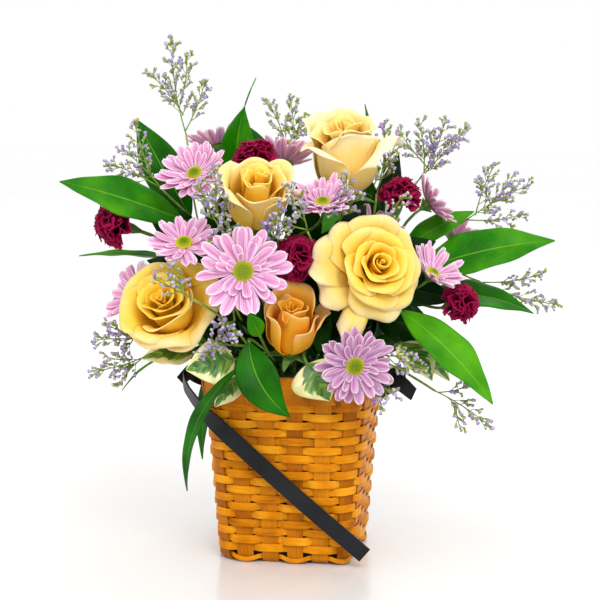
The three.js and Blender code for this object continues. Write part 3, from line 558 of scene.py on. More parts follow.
# Stakes run down the wall and turn in under the foot, the corner ones less far. They lie at two levels
# there, one quarter of the basket lower and the next one higher.
def stakes():
    chance = random.Random(8)
    shape = Shape()
    heights = np.linspace(BAND_FOOT + 6, 4.5, 24)
    section = strip_section(STAKE_HALF, STAKE_THICK, 0.15)
    middle = STAKE_OUT - STAKE_THICK / 2
    for k in range(STAKES):
        share = (k + 0.5) / STAKES
        line, outs = wall(heights, share, middle)
        foot, out = wall(0.0, share, middle - 3.0)
        level = 0.8 if (k // QUARTER_STAKES) % 2 else 1.8
        turn_in = CORNER_TURN_IN if k % QUARTER_STAKES == QUARTER_STAKES // 2 else STAKE_TURN_IN
        bend = foot * [1, 1, 0] + UP * level
        inward = bend - out * turn_in
        round_corner = [blend(line[-1], bend + out * 0.8 + UP * 0.4, 0.75), bend]
        line = np.concatenate([line, round_corner, [inward * [1, 1, 0] + UP * level]])
        outs = np.concatenate([outs, [unit(out - UP), -UP, -UP]])
        narrow = [(a * (0.86 + 0.002 * k), b) for a, b in section]
        shape.strip(line, outs, narrow, chance.random())
    return shape


def base_plate():
    shape = Shape()
    share = np.linspace(0, 1, 80, endpoint=False)
    rings = [wall(z, share, offset)[0] for z, offset in ((2.4, -3.4), (3.8, -2.6))]
    shape.skin(np.array(rings), (0.0, 0.0, 0.4))
    return shape


BAND_HALF = BAND_HEIGHT / 2
BAND_MIDDLE = BAND_FOOT + BAND_HALF


def rim_band():
    shape = Shape()
    face = [(-BAND_HALF, 0.3), (-BAND_HALF + 1, 0.9), (0, 1.15), (BAND_HALF - 1, 0.9), (BAND_HALF, 0.3)]
    section = face + [(BAND_HALF, -0.8), (-BAND_HALF, -0.8)]
    hoop(shape, BAND_MIDDLE, np.arange(160) / 160, 0.7, section, 0.35)
    # Where the band's end laps over its start
    line, outs = wall(BAND_MIDDLE, np.linspace(-0.16, -0.118, 10), 1.75)
    edge = BAND_HALF - 0.8
    section = [(-edge, 0.5), (edge, 0.5), (edge, -0.6), (-edge, -0.6)]
    shape.strip(line[::-1], outs[::-1], section, 0.8)
    return shape


# The reed that lashes the band on: up across it, over the rim and down behind it, in slanted turns
def lashing():
    shape = Shape()
    steps = np.array([0.0, 0.06, 0.5, 0.94, 1.0, 1.04, 1.06, 1.1])
    heights = np.array([-1.2, 0.4, 10.3, 19.8, 21.6, 22.4, 21.4, 12.0]) + BAND_FOOT
    offsets = np.array([0.2, 2.4, 3.0, 2.7, 1.7, -2.0, -4.6, -5.6])
    section = [(-2, 0.2), (-1, 0.6), (1, 0.6), (2, 0.2), (2, -0.4), (-2, -0.4)]
    for k in range(LASHES):
        line, outs = wall(heights, (k - steps / 3) / LASHES, offsets)
        outs[5:7] = UP
        outs[7] = -outs[7]
        shape.strip(line, outs, section, 0.04 * k)
    return shape


def rim_inner():
    shape = Shape()
    half = BAND_HALF - 0.2
    section = [(-half, 0.9), (half, 0.9), (half, 0.2), (half - 1, -0.7), (0, -0.9), (-half, -0.7)]
    hoop(shape, BAND_MIDDLE, np.arange(120) / 120, -4.0, section, 0.6)
    return shape


# A flat bar's section with its corners cut
def bar_section(half, thick, cut, edge):
    outside = [(-half, edge), (-half + cut, thick), (half - cut, thick), (half, edge)]
    return outside + [(across, -out) for across, out in outside[::-1]]


RING_OUT = 8.5
RING_HALF = 11.5
RING_MIDDLE = 137
RING_DEEP = 5
RING_THICK = 0.9
RING_ROOT = 1.2  # how far its ends run into the band


def strap_ring(side):
    shape = Shape()
    turns = np.linspace(-math.pi / 2, math.pi / 2, 28)
    face = wall(HEIGHT, 0.25, 1.9)[0][0]
    out = np.stack([np.cos(turns), np.zeros_like(turns), np.sin(turns)], axis=1)
    reach = vec(RING_OUT - RING_THICK, 1, RING_HALF - RING_THICK)
    line = vec(face, 0, RING_MIDDLE) + out * reach
    root = vec(RING_ROOT, 0, 0)
    line = np.concatenate([[line[0] - root], line, [line[-1] - root]])
    outs = np.concatenate([out[:1], out, out[-1:]])
    shape.strip(line, outs, bar_section(RING_DEEP / 2, RING_THICK, 0.5, 0.4))
    shape.points = [points * [side, side, 1] for points in shape.points]
    return shape


# The left strap: its tail, through the ring, round the corner, then straight down across the front.
# Each step is a point and the way the strap's outer face looks there. The right strap is its half turn.
STRAP_STEPS = [
    ((-98, 14, 131), (-0.5, 0.6, 0.6)),
    ((-85.5, 18, 141.5), (-0.3, 0.9, 0.4)),
    ((-75, 12, 139), (-0.8, 0.6, 0)),
    ((-72.2, 1, 137), (-1, 0, 0)),
    ((-74.5, -8, 138.5), (-0.9, 0.4, 0)),
    ((-81.5, -12, 142), (-0.45, 0.75, 0.4)),
    ((-87, -15, 141), (-0.8, 0.3, 0.4)),
    ((-85.5, -22, 136), (-1, -0.1, 0.1)),
    ((-79, -34, 130.5), (-0.93, -0.3, -0.1)),
    ((-70.5, -47, 125.5), (-0.85, -0.45, -0.1)),
    ((-60.5, -59.5, 119), (-0.6, -0.75, 0)),
    ((-50, -67.3, 112.4), (-0.25, -0.95, 0.09)),
    ((-40, -69.3, 104.4), (0, -1, 0.09)),
    ((14, -64.5, 55.8), (0, -1, 0.09)),
    ((66, -59.8, 11.2), (0, -1, 0.09)),
]


# A smooth line through points, with extra values carried along
def smooth_line(points, values, per_step):
    points, values = np.array(points, float), np.array(values, float)
    ends = [2 * points[0] - points[1], *points, 2 * points[-1] - points[-2]]
    line, carried = [], []
    for i in range(len(points) - 1):
        a, b, c, d = ends[i : i + 4]
        ta, tb, tc = (np.linalg.norm(q - p) ** 0.5 for p, q in ((a, b), (b, c), (c, d)))
        leave = ((b - a) / ta - (c - a) / (ta + tb) + (c - b) / tb) * tb
        arrive = ((c - b) / tb - (d - b) / (tb + tc) + (d - c) / tc) * tb
        last = i == len(points) - 2
        for t in np.linspace(0, 1, per_step + last, endpoint=last):
            line.append(
                (2 * t**3 - 3 * t**2 + 1) * b
                + (t**3 - 2 * t**2 + t) * leave
                + (3 * t**2 - 2 * t**3) * c
                + (t**3 - t**2) * arrive
            )
            carried.append(blend(values[i], values[i + 1], t))
    return np.array(line), np.array(carried)


def strap(side):
    shape = Shape()
    line, outs = smooth_line([at for at, _ in STRAP_STEPS], [out for _, out in STRAP_STEPS], 8)
    shape.strip(line, outs, bar_section(STRAP_WIDTH / 2, STRAP_THICK / 2, 0.6, 0.3))
    shape.points = [points * [-side, -side, 1] for points in shape.points]
    return shape


# Stems

BLOOM_STEM = 1.5  # a daisy's or a carnation's, as a radius


# Where a stem goes into the foam, for what stands at a point above it.
def foot_of(at):
    return [at[0] * ENTRY_SHARE, at[1] * ENTRY_SHARE]


# A stem's foot in the foam, its place at the foam's top and its lean.
def planted(foot):
    mouth = vec(foot[0], foot[1], FOAM_TOP)
    lean = unit(vec(foot[0], foot[1], STEM_FAN))
    return mouth - lean * STEM_DEPTH, mouth + lean * 2, lean


# A curve that leaves one point one way and comes to another in another way.
def bowed(start, leaving, end, arriving, count):
    reach = np.linalg.norm(end - start) * 0.36
    leave, arrive = start + leaving * reach, end - arriving * reach
    t = np.linspace(0, 1, count + 1)[:, None]
    bend = 3 * (1 - t) ** 2 * t * leave + 3 * (1 - t) * t**2 * arrive
    return (1 - t) ** 3 * start + bend + t**3 * end


def single_stem(shape, head, way, foot, radius):
    bottom, mouth, lean = planted(foot)
    line = np.concatenate([[bottom], bowed(mouth, lean, head, way, 14)])
    shape.tube(line, radius, 8)


# A stem from the foam to a fork, and a branch from the fork to each head.
def forked_stem(shape, fork, foot, heads, radius):
    foot = foot or foot_of(fork)
    if len(heads) == 1:
        single_stem(shape, *heads[0], foot, radius)
        return
    fork = vec(*fork)
    bottom, mouth, _ = planted(foot)
    away = unit(fork - mouth)
    shape.tube([bottom, mouth, blend(mouth, fork, 0.5), fork + away * radius], radius, 8)
    for head, way in heads:
        leaving = unit(blend(unit(head - fork), away, 0.45))
        shape.tube(bowed(fork, leaving, head, way, 10), radius * 0.8, 7)


# A flower's head: where its stem meets it, so far below its seat, and the way the stem comes in
def head_of(flower, below):
    way = unit(flower["face"])
    return vec(*flower["at"]) - way * below, way


# A rose's petals are named by their values: the body's and the lip's angles from the axis in degrees, the
# bowl they rise from, their length and half width as shares of the bloom's height, and where the lip begins
def petal(body, lip, bowl, length, half, lip_at=0.74):
    return np.array([body, lip, bowl, length, half, lip_at], float)


# Roses: where each sits and looks, its size, its heart's petals from the first to the last, and its outer
# petals with their turns about the axis. 0 degrees is to the right, and 90 is up or to the back.
ROSES = {
    "top": dict(
        at=(42, 0, 288),
        face=(-0.06, -0.3, 0.95),
        radius=37,
        height=64,
        heart=(11, petal(-6, 12, 0.05, 0.98, 0.13), petal(-3, 74, 0.24, 1.08, 0.31)),
        outer=[
            (90, petal(-5, 40, 0.3, 1.16, 0.46, 0.86)),
            (30, petal(-4, 60, 0.31, 1.1, 0.42, 0.84)),
            (150, petal(-5, 78, 0.31, 1.2, 0.34, 0.86)),
            (282, petal(-6, 34, 0.34, 1.04, 0.58, 0.92)),
            (206, petal(-3, 128, 0.35, 0.98, 0.46, 0.8)),
            (338, petal(2, 122, 0.35, 1.1, 0.44, 0.68)),
        ],
    ),
    "upper_left": dict(
        at=(-31, -36, 266),
        face=(0.08, -0.5, 0.86),
        radius=29,
        height=54,
        heart=(9, petal(-6, 10, 0.05, 0.94, 0.14), petal(-6, 54, 0.26, 1.04, 0.32)),
        outer=[
            (100, petal(-8, 30, 0.36, 1.1, 0.46, 0.8)),
            (35, petal(-2, 70, 0.37, 1.1, 0.4, 0.76)),
            (160, petal(-2, 74, 0.37, 1.12, 0.4, 0.78)),
            (330, petal(4, 44, 0.4, 1.0, 0.36)),
            (212, petal(0, 96, 0.38, 1.02, 0.4, 0.78)),
            (278, petal(-4, 66, 0.38, 0.96, 0.46, 0.86)),
        ],
    ),
    "right": dict(
        at=(57, -62, 232),
        face=(0.28, -0.9, 0.32),
        radius=44,
        height=40,
        heart=(16, petal(-8, 12, 0.06, 0.9, 0.24), petal(34, 96, 0.22, 1.04, 0.58)),
        outer=[
            (35, petal(48, 104, 0.24, 1.1, 0.7, 0.68)),
            (325, petal(50, 110, 0.24, 1.1, 0.62, 0.66)),
            (95, petal(52, 100, 0.24, 1.18, 0.74, 0.7)),
            (148, petal(52, 100, 0.26, 1.2, 0.58, 0.66)),
            (284, petal(54, 116, 0.26, 1.14, 0.58, 0.66)),
            (182, petal(60, 82, 0.26, 1.32, 0.56, 0.62)),
            (216, petal(64, 98, 0.26, 1.24, 0.5, 0.6)),
            (263, petal(72, 70, 0.28, 1.56, 0.26, 0.5)),
        ],
    ),
    "left": dict(
        at=(-92, -46, 190),
        face=(-0.26, -0.74, 0.62),
        radius=42,
        height=46,
        heart=(12, petal(-8, 12, 0.06, 0.92, 0.22), petal(4, 74, 0.26, 1.06, 0.5)),
        outer=[
            (112, petal(24, 84, 0.3, 1.16, 0.66, 0.78)),
            (166, petal(20, 100, 0.3, 1.12, 0.6, 0.76)),
            (300, petal(6, 62, 0.36, 1.02, 0.76, 0.84)),
            (56, petal(40, 112, 0.3, 1.2, 0.6, 0.68)),
            (226, petal(18, 120, 0.34, 1.06, 0.6, 0.76)),
            (8, petal(40, 104, 0.3, 1.16, 0.6, 0.7)),
            (258, petal(26, 112, 0.36, 1.08, 0.62, 0.72)),
            (318, petal(34, 96, 0.36, 1.08, 0.7, 0.74)),
        ],
    ),
    "bud": dict(
        at=(-3, -66, 172),
        face=(0.03, -0.5, 0.86),
        radius=21,
        height=51,
        heart=(6, petal(-5, 8, 0.06, 0.9, 0.15), petal(-4, 26, 0.22, 0.98, 0.32)),
        outer=[
            (268, petal(-7, 12, 0.28, 0.98, 0.34, 0.92)),
            (85, petal(-2, 58, 0.3, 1.16, 0.44, 0.8)),
            (200, petal(-6, 34, 0.34, 1.0, 0.3, 0.86)),
            (140, petal(-4, 44, 0.34, 1.02, 0.34, 0.84)),
            (338, petal(-2, 38, 0.38, 0.86, 0.34, 0.84)),
            (20, petal(6, 64, 0.4, 0.92, 0.26, 0.78)),
        ],
    ),
}
HIP = 6
HIP_DEEP = 9
ROSE_STEM = 2.2
SEPALS = 5
SEPAL_THICK = 0.6
BOWL_ANGLE = math.radians(82)
PETAL_THICK = 0.55


# A petal in rows from its foot to its lip. Its angle from the axis starts flat in the bowl, stands up in
# the body and rolls back at the lip, sooner at the sides than in the middle, which leaves a soft point.
def rose_petal(height, values, turn, luck, out):
    body, lip, bowl, length, half, lip_at = values
    steps, wide = 24, 19
    v, u = along_and_across(steps, wide)
    outline = 1 - (0.1 + 0.08 * out) * np.abs(u) ** 2.6 + 0.02 * np.sin(5 * u + luck * 9)
    s = v * outline
    begin = lip_at - (0.08 + 0.18 * out) * np.abs(u) ** 1.4 + 0.05 * np.sin(3 * u + luck * 9)
    past = np.clip((s - begin) / (1 - begin), 0, 1)
    body = math.radians(body)
    lean = body + (BOWL_ANGLE - body) * np.exp(-((s / bowl) ** 2)) + math.radians(lip) * past**1.4
    lean = lean + (0.04 + 0.1 * out) * np.sin(2.3 * u + 5 * s + luck * 8) * s
    lean = lean + (0.1 + 0.22 * out) * np.sin(5.2 * u + luck * 15) * past
    step = height * length * outline / (steps - 1)
    start = height * 0.012
    none = np.zeros((1, wide))
    reach = start + np.concatenate([none, np.cumsum(np.sin(lean[1:]) * step, axis=0)])
    lift = np.concatenate([none, np.cumsum(np.cos(lean[1:]) * step, axis=0)])
    reach = np.maximum(reach, start) + height * (0.03 + 0.02 * out) * (u + 0.6) * s
    spread = height * half * (0.25 + 0.75 * np.sin(np.minimum(v * 1.2, 1) * math.pi / 2))
    wrap = np.minimum(spread / np.maximum(reach, 1.2), 2.2 - 1.0 * out)
    angle = turn + u * wrap
    return np.stack([reach * np.cos(angle), reach * np.sin(angle), lift], axis=-1)


def rose_bloom(name, rose):
    chance = random.Random(name)
    shape = Shape()
    at, turn = seat(rose)
    count, first, last = rose["heart"]
    petals = []
    for k in range(count):
        out = k / (count - 1)
        values = blend(first, last, out) + petal(chance.uniform(-2, 3), chance.uniform(-12, 12), 0, 0, 0, 0)
        petals.append((math.degrees(k * GOLDEN_ANGLE) + chance.uniform(-16, 16), values, 0.6 * out))
    for k, (spin, values) in enumerate(rose["outer"]):
        petals.append((spin, values, 0.7 + 0.3 * k / (len(rose["outer"]) - 1)))
    for spin, values, out in petals:
        rows = rose_petal(rose["height"], values, math.radians(spin), chance.random(), out)
        shape.sheet(rows @ turn.T + at, PETAL_THICK, out)
    return shape


# A rose's green parts: the stem, the hip and five long sepals bent out from under the bloom
def rose_green(name, rose):
    chance = random.Random(name)
    shape = Shape()
    at, turn = seat(rose)
    single_stem(shape, *head_of(rose, HIP_DEEP), foot_of(rose["at"]), ROSE_STEM)
    profile = [(1.6, -14), (2.6, -11), (4.6, -8.5), (6.2, -5.5), (6.4, -3), (5.4, -0.8), (3.5, 0.6)]
    shape.turned(profile, 14, turn, at)
    length = HIP + rose["radius"] * 0.5
    v, u = along_and_across(9, 5)
    for k in range(SEPALS):
        drop = chance.uniform(0.15, 0.5)
        out = HIP * 0.8 + length * v * (1 - 0.15 * v)
        lift = -3.5 + length * (0.12 * v - drop * v**2) + 0.4 * np.abs(u)
        half = 3.4 * (1 - v**1.5) ** 0.8 + 0.25
        spin = 2 * math.pi * (k + 0.5) / SEPALS + chance.uniform(-0.1, 0.1)
        shape.sheet(spun(out, u * half, lift, spin) @ turn.T + at, SEPAL_THICK, 0.5)
    return shape


# Daisies, each with its stem
DAISIES = {
    "front": dict(at=(-38, -96, 236), face=(0.03, -0.97, 0.2), radius=38, cup=0.12, double=True),
    "upper_left": dict(at=(-77, -24, 303), face=(-0.25, -0.7, 0.65), radius=30, cup=0.3, double=True),
    "left": dict(at=(-84, -60, 252), face=(-0.05, -0.62, 0.78), radius=30, cup=0.14, double=False),
    "low_right": dict(at=(45, -90, 164), face=(0.25, -0.96, -0.03), radius=33, cup=0.16, double=True),
    "middle": dict(at=(22, -50, 282), face=(-0.05, -0.5, 0.86), radius=28, cup=0.36, double=True),
    "far_left": dict(at=(-125, -8, 207), face=(-0.7, -0.55, 0.45), radius=29, cup=0.2, double=False),
    "back_left": dict(at=(-62, 42, 322), face=(-0.2, 0.25, 0.95), radius=27, cup=0.4, double=False),
    "back_middle": dict(at=(-8, 42, 308), face=(0.05, 0.4, 0.9), radius=27, cup=0.5, double=False),
    "right_side": dict(at=(106, 12, 277), face=(0.85, 0.1, 0.5), radius=25, cup=0.4, double=False),
    "right": dict(at=(107, -29, 225), face=(0.5, -0.45, 0.74), radius=25, cup=0.5, double=False),
    "back_right": dict(at=(132, 62, 244), face=(0.55, 0.45, 0.7), radius=25, cup=0.4, double=False),
    "behind_rose": dict(at=(60, -8, 255), face=(0.1, -0.6, 0.8), radius=27, cup=0.3, double=False),
}
DAISY_STEMS = {
    "front": (["front"], (-36, -56, 196)),
    "low_right": (["low_right"], (30, -60, 160)),
    "left": (["upper_left", "left", "far_left"], (-58, 8, 200)),
    "middle": (["middle", "back_left", "back_middle"], (-14, 6, 236)),
    "right": (["right_side", "right", "back_right"], (62, 16, 200)),
    "behind_rose": (["behind_rose"], (48, -6, 200)),
}
DISC_FOOT = 3
DISC_SHARE = 0.22
DISC_FLORETS = 110
BRACTS = 16
RAY_THICK = 0.5
# Each layer: rays, length and width as shares of the radius, and how far it lies above the first
LAYERS = [(15, 1.0, 0.125, 0.0), (12, 0.9, 0.115, 2.0), (7, 0.5, 0.07, 4.5)]
DOUBLE_LAYERS = [(17, 1.0, 0.12, 0.0), (13, 0.86, 0.112, 3.0), (10, 0.62, 0.09, 6.0), (9, 0.4, 0.06, 9.5)]


# One ray: a grooved strip with a blunt, notched tip, rising with the bloom's cup
def ray(radius, cup, length, half, lift, spin, luck):
    v, u = along_and_across(12, 7)
    v = np.sin(v * math.pi / 2)
    start = radius * 0.16
    notch = 0.02 * np.cos(u * math.pi * 2) - 0.05 * np.abs(u) ** 3
    out = start + (length - start) * v * (1 + notch * v**3)
    share = out / radius
    groove = 0.32 * np.cos(u * 2 * math.pi) * np.sin(np.minimum(v, 0.92) * math.pi)
    sag = 0.11 * radius * math.sin(luck * 6.3)
    height = 1.4 + radius * cup * share**2 + lift * share + groove + sag * v**2 + 1.4 * v * np.abs(u) ** 2
    width = half * (0.34 + 0.66 * np.sin(np.minimum(v * 0.6 + 0.02, 1) * math.pi) ** 0.8)
    width = width * np.sqrt(np.clip(1 - np.clip((v - 0.72) / 0.29, 0, 1) ** 2.4, 0.03, 1))
    side = u * width + (luck - 0.5) * 0.14 * radius * v**2
    return spun(out, side, height, spin)


def daisy_rays(name, daisy):
    chance = random.Random("rays" + name)
    shape = Shape()
    radius = daisy["radius"]
    at, turn = seat(daisy)
    for layer, (count, length, half, lift) in enumerate(DOUBLE_LAYERS if daisy["double"] else LAYERS):
        for k in range(count):
            spin = 2 * math.pi * (k + layer * 0.5) / count + chance.uniform(-0.13, 0.13)
            reach = radius * length * chance.uniform(0.84, 1.0)
            wide = half * radius * chance.uniform(0.82, 1.14)
            rows = ray(radius, daisy["cup"], reach, wide, lift, spin, chance.random())
            shape.sheet(rows @ turn.T + at, RAY_THICK, chance.random())
    return shape


# A disc of florets in spirals, the outer ones open and yellow
def daisy_disc(shape, daisy):
    radius = daisy["radius"] * DISC_SHARE
    at, turn = seat(daisy)
    cushion = [(radius * 0.8, 1), (radius, 2.6), (radius * 0.85, 4), (radius * 0.3, 4.8)]
    shape.turned(cushion, 16, turn, at, 0.1)
    for k in range(DISC_FLORETS):
        share = math.sqrt((k + 0.5) / DISC_FLORETS)
        spin = k * GOLDEN_ANGLE
        out = radius * share
        foot = vec(out * math.cos(spin), out * math.sin(spin), 4.9 - 2.2 * share**3)
        size = 0.42 + 0.3 * share
        profile = [(size * 0.9, -1.2), (size, 0.2), (size * 0.5, 0.9 + 0.3 * share)]
        shape.turned(profile, 5, turn, foot @ turn.T + at, share**2)


# The green cup under a daisy, and the bracts that stand round it
def daisy_green(shape, daisy):
    radius = daisy["radius"] * DISC_SHARE
    at, turn = seat(daisy)
    profile = [(1.3, -6.5), (2.2, -5), (radius * 0.6, -3), (radius * 1.05, -0.3), (radius * 0.9, 1)]
    shape.turned(profile, 14, turn, at)
    v, u = along_and_across(5, 3)
    out, side, lift = radius * (0.45 + 0.8 * v), u * (1.5 - 1.2 * v**2), -3.6 + 4.0 * v
    for k in range(BRACTS):
        rows = spun(out, side, lift, 2 * math.pi * k / BRACTS)
        shape.sheet(rows @ turn.T + at, RAY_THICK, 0.7)


# Carnations
CARNATIONS = {
    "left": dict(at=(-136, -14, 263), face=(-0.8, -0.5, 0.3), radius=20),
    "upper": dict(at=(-31, 8, 308), face=(0, 0.1, 1), radius=20),
    "middle": dict(at=(3, -62, 240), face=(0.05, -0.85, 0.5), radius=20),
    "upper_right": dict(at=(82, -16, 282), face=(0.25, -0.35, 0.9), radius=18),
    "right": dict(at=(128, -24, 202), face=(0.6, -0.75, 0.28), radius=17),
}
CARNATION_STEMS = {
    "left": (["left"], (-58, -22, 200)),
    "middle": (["upper", "middle"], (-6, -16, 200)),
    "right": (["upper_right", "right"], (54, -16, 208)),
}
CALYX = 15
RUFFLES = 26
RUFFLE_THICK = 0.45


# One petal: a narrow claw that fans out into a ruffled, saw-toothed edge
def ruffle(radius, out, spin, luck):
    wide = 25
    v, u = along_and_across(9, wide)
    reach_end = radius * (0.08 + 0.84 * out**0.8)
    lift_end = radius * (1.08 - 0.98 * out**1.7 + 0.1 * (luck - 0.5))
    bend = radius * (0.05 + 0.22 * out)
    reach = 2 * (1 - v) * v * bend + v**2 * reach_end + 0.05 * radius * (1 - v)
    lift = 2 * (1 - v) * v * lift_end * 0.8 + v**2 * lift_end
    half = radius * (0.6 + 0.06 * out) * v**1.2 + 0.05 * radius
    teeth = np.where(np.arange(wide) % 2 == 0, 1.0, -1.0)[None, :]
    stretch = 1 + (0.028 * teeth + 0.05 * np.sin(u * 4 + luck * 9) - 0.22 * np.abs(u) ** 2.4) * v**6
    waves = np.sin(u * 4.6 + luck * 6.3) + 0.5 * np.sin(u * 8.1 + luck * 17)
    amount = radius * 0.18 * v**1.8
    tilt = math.atan2(reach_end, lift_end)
    reach = reach * stretch + amount * waves * math.cos(tilt)
    lift = lift * stretch - amount * waves * math.sin(tilt)
    gather = half * (1 - 0.12 * np.cos(u * 8.1 + luck * 17) * v)
    return spun(reach, u * gather, lift, spin)


def carnation_bloom(name, bloom):
    chance = random.Random("ruffle" + name)
    shape = Shape()
    at, turn = seat(bloom)
    for k in range(RUFFLES):
        out = ((k + 0.5) / RUFFLES) ** 0.75
        rows = ruffle(bloom["radius"], out, k * GOLDEN_ANGLE + chance.uniform(-0.2, 0.2), chance.random())
        shape.sheet(rows @ turn.T + at, RUFFLE_THICK, chance.random())
    return shape


def carnation_green(shape, bloom):
    at, turn = seat(bloom)
    foot = [(1.4, -CALYX - 3), (2.4, -CALYX), (3.9, -CALYX * 0.7)]
    shape.turned(foot + [(4.4, -5), (4.2, -1), (4.9, 2.2), (3.4, 1.2)], 12, turn, at, 0.4)


# A leaf: its root and tip, its width, the way its upper side looks and how far it arches
def leaf(root, tip, width, face, arch, **more):
    return dict(root=root, tip=tip, width=width, face=face, arch=arch, **more)


# A stem with leaves, from its fork. Where no foot is given, it goes into the foam under the fork.
def leafy(fork, *leaves, foot=None):
    return dict(fork=fork, leaves=leaves, foot=foot)


# Leaves on their stems. bend, fold and drip shape single leaves further.
LEAF_STEMS = {
    "leaves_left": leafy(
        (-62, 26, 215),
        leaf((-88, -2, 266), (-182, -34, 299), 36, (-0.1, -0.75, 0.65), 5),
        leaf((-96, -2, 235), (-169, -24, 240), 16, (-0.1, 0.35, 0.93), 3),
        leaf((-84, 30, 266), (-129, 52, 344), 34, (-0.3, -0.9, 0.35), 5),
    ),
    "leaves_top": leafy(
        (-30, 18, 236),
        leaf((-46, 34, 294), (-31, 32, 378), 27, (0.2, -0.95, 0.1), 4, bend=-7, fold=0.3, drip=0.3),
        leaf((-20, 77, 296), (-40, 84, 338), 18, (0, -0.9, 0.4), 3),
    ),
    "leaves_right": leafy(
        (74, 8, 184),
        leaf((96, 4, 224), (207, -4, 250), 40, (0.05, -0.72, 0.7), 8),
        leaf((88, 30, 240), (146, 34, 270), 22, (-0.1, -0.75, 0.65), 5),
        leaf((100, 22, 200), (194, 22, 188), 30, (0.1, -0.6, 0.8), 12),
        leaf((82, -46, 200), (151, -84, 133), 36, (0.45, -0.75, 0.5), 8),
        foot=(38, 3),
    ),
    "leaves_front": leafy(
        (-20, -64, 170),
        leaf((-34, -90, 182), (-3, -108, 128), 31, (-0.1, -1, 0.2), 6, bend=7),
        leaf((-26, -86, 186), (-34, -104, 206), 13, (0.3, -0.9, -0.2), 2),
        leaf((-42, -88, 162), (-81, -98, 69), 15, (-0.75, -0.6, 0.3), 17),
    ),
    "leaves_low_left": leafy(
        (-66, 8, 160),
        leaf((-84, -16, 160), (-136, -30, 134), 11, (-0.2, 0.1, 1), 9),
        leaf((-62, 62, 151), (-77, 46, 62), 15, (-0.6, -0.7, 0.2), 8),
        foot=(-42, 6),
    ),
    "leaves_back": leafy(
        (16, 60, 176),
        leaf((56, 66, 304), (58, 70, 356), 18, (1, -0.2, 0), 3),
        leaf((30, 90, 216), (52, 130, 286), 38, (0.1, 0.85, 0.5), 6),
        leaf((-12, 92, 214), (-60, 134, 262), 38, (-0.2, 0.8, 0.6), 6),
        leaf((44, 80, 186), (94, 122, 176), 34, (0.2, 0.5, 0.85), 9),
        leaf((-40, 74, 186), (-118, 104, 200), 36, (-0.3, 0.5, 0.8), 9),
    ),
}
CREAM_STEMS = {
    "cream_leaves_left": leafy(
        (-48, -48, 160),
        leaf((-46, -75, 166), (-82, -87, 160), 34, (-0.2, -0.95, 0.25), 4),
        leaf((-78, -56, 168), (-118, -60, 164), 26, (-0.1, -0.7, 0.7), 4),
        leaf((-42, -78, 153), (-60, -84, 131), 22, (-0.3, -0.9, 0.3), 3),
    ),
    "cream_leaves_front": leafy(
        (22, -60, 153),
        leaf((10, -79, 163), (27, -86, 136), 40, (0, -0.95, 0.3), 3),
    ),
    "cream_leaves_right": leafy(
        (70, -26, 162),
        leaf((84, -44, 174), (106, -66, 148), 30, (0.3, -0.8, 0.5), 4),
        leaf((90, -22, 166), (122, -34, 142), 26, (0.4, -0.6, 0.6), 4),
    ),
}
LEAF_STEM = 1.3
LEAF_THICK = 0.7
LEAF_GRIP = 1.5  # how far a stem's branch runs into its leaf
LEAF_WIDEST = 0.85
CREAM_WIDEST = 0.7


# A leaf from its root to its tip, in rows across it. widest under 1 sets its widest place nearer the root,
# and drip is the share of its length that is a thin tip.
def leaf_rows(
    root, tip, width, face, arch, bend=0, fold=0.14, drip=0, widest=LEAF_WIDEST, luck=0.5, steps=29, wide=13
):
    start, end, out = vec(*root), vec(*tip), unit(face)
    middle = (start + end) / 2 + out * 2 * arch + unit(np.cross(end - start, out)) * 2 * bend
    s, u = along_and_across(steps, wide)
    u = u[..., None]
    centre = (1 - s) ** 2 * start + 2 * (1 - s) * s * middle + s**2 * end
    along = unit(2 * (1 - s) * (middle - start) + 2 * s * (end - middle))
    side = unit(np.cross(along, out))
    up = unit(np.cross(side, along))
    blade = np.minimum(s / (1 - drip), 1)
    half = width / 2 * np.sin(math.pi * blade**widest) * (1 - 0.12 * blade**4) + 0.35
    size = half[:, None]
    groove = -0.5 * np.exp(-((u / 0.1) ** 2)) * np.sin(math.pi * s)[:, None]
    ripple = 0.035 * width * np.sin(s * 17 + luck * 9)[:, None] * u**2 * np.sign(u + 0.01)
    height = size * fold * (1.5 * np.abs(u) - 0.6 * u**2) + groove + ripple * np.sin(math.pi * s)[:, None]
    return centre[:, None] + side[:, None] * u * size + up[:, None] * height


def leafy_stem(name, stem, widest):
    chance = random.Random(name)
    blades, stalks = Shape(), Shape()
    heads = []
    for one in stem["leaves"]:
        root = vec(*one["root"])
        way = unit(vec(*one["tip"]) - root)
        heads.append((root + way * LEAF_GRIP, way))
        luck = chance.random()
        blades.sheet(leaf_rows(widest=widest, luck=luck, **one), LEAF_THICK, luck)
    forked_stem(stalks, stem["fork"], stem["foot"], heads, LEAF_STEM)
    return blades, stalks


# A spray of sea lavender, from its fork. Each main stem gives its own end first, then its twigs' ends.
def sprig(fork, *mains, foot=None):
    return dict(fork=fork, mains=mains, foot=foot)


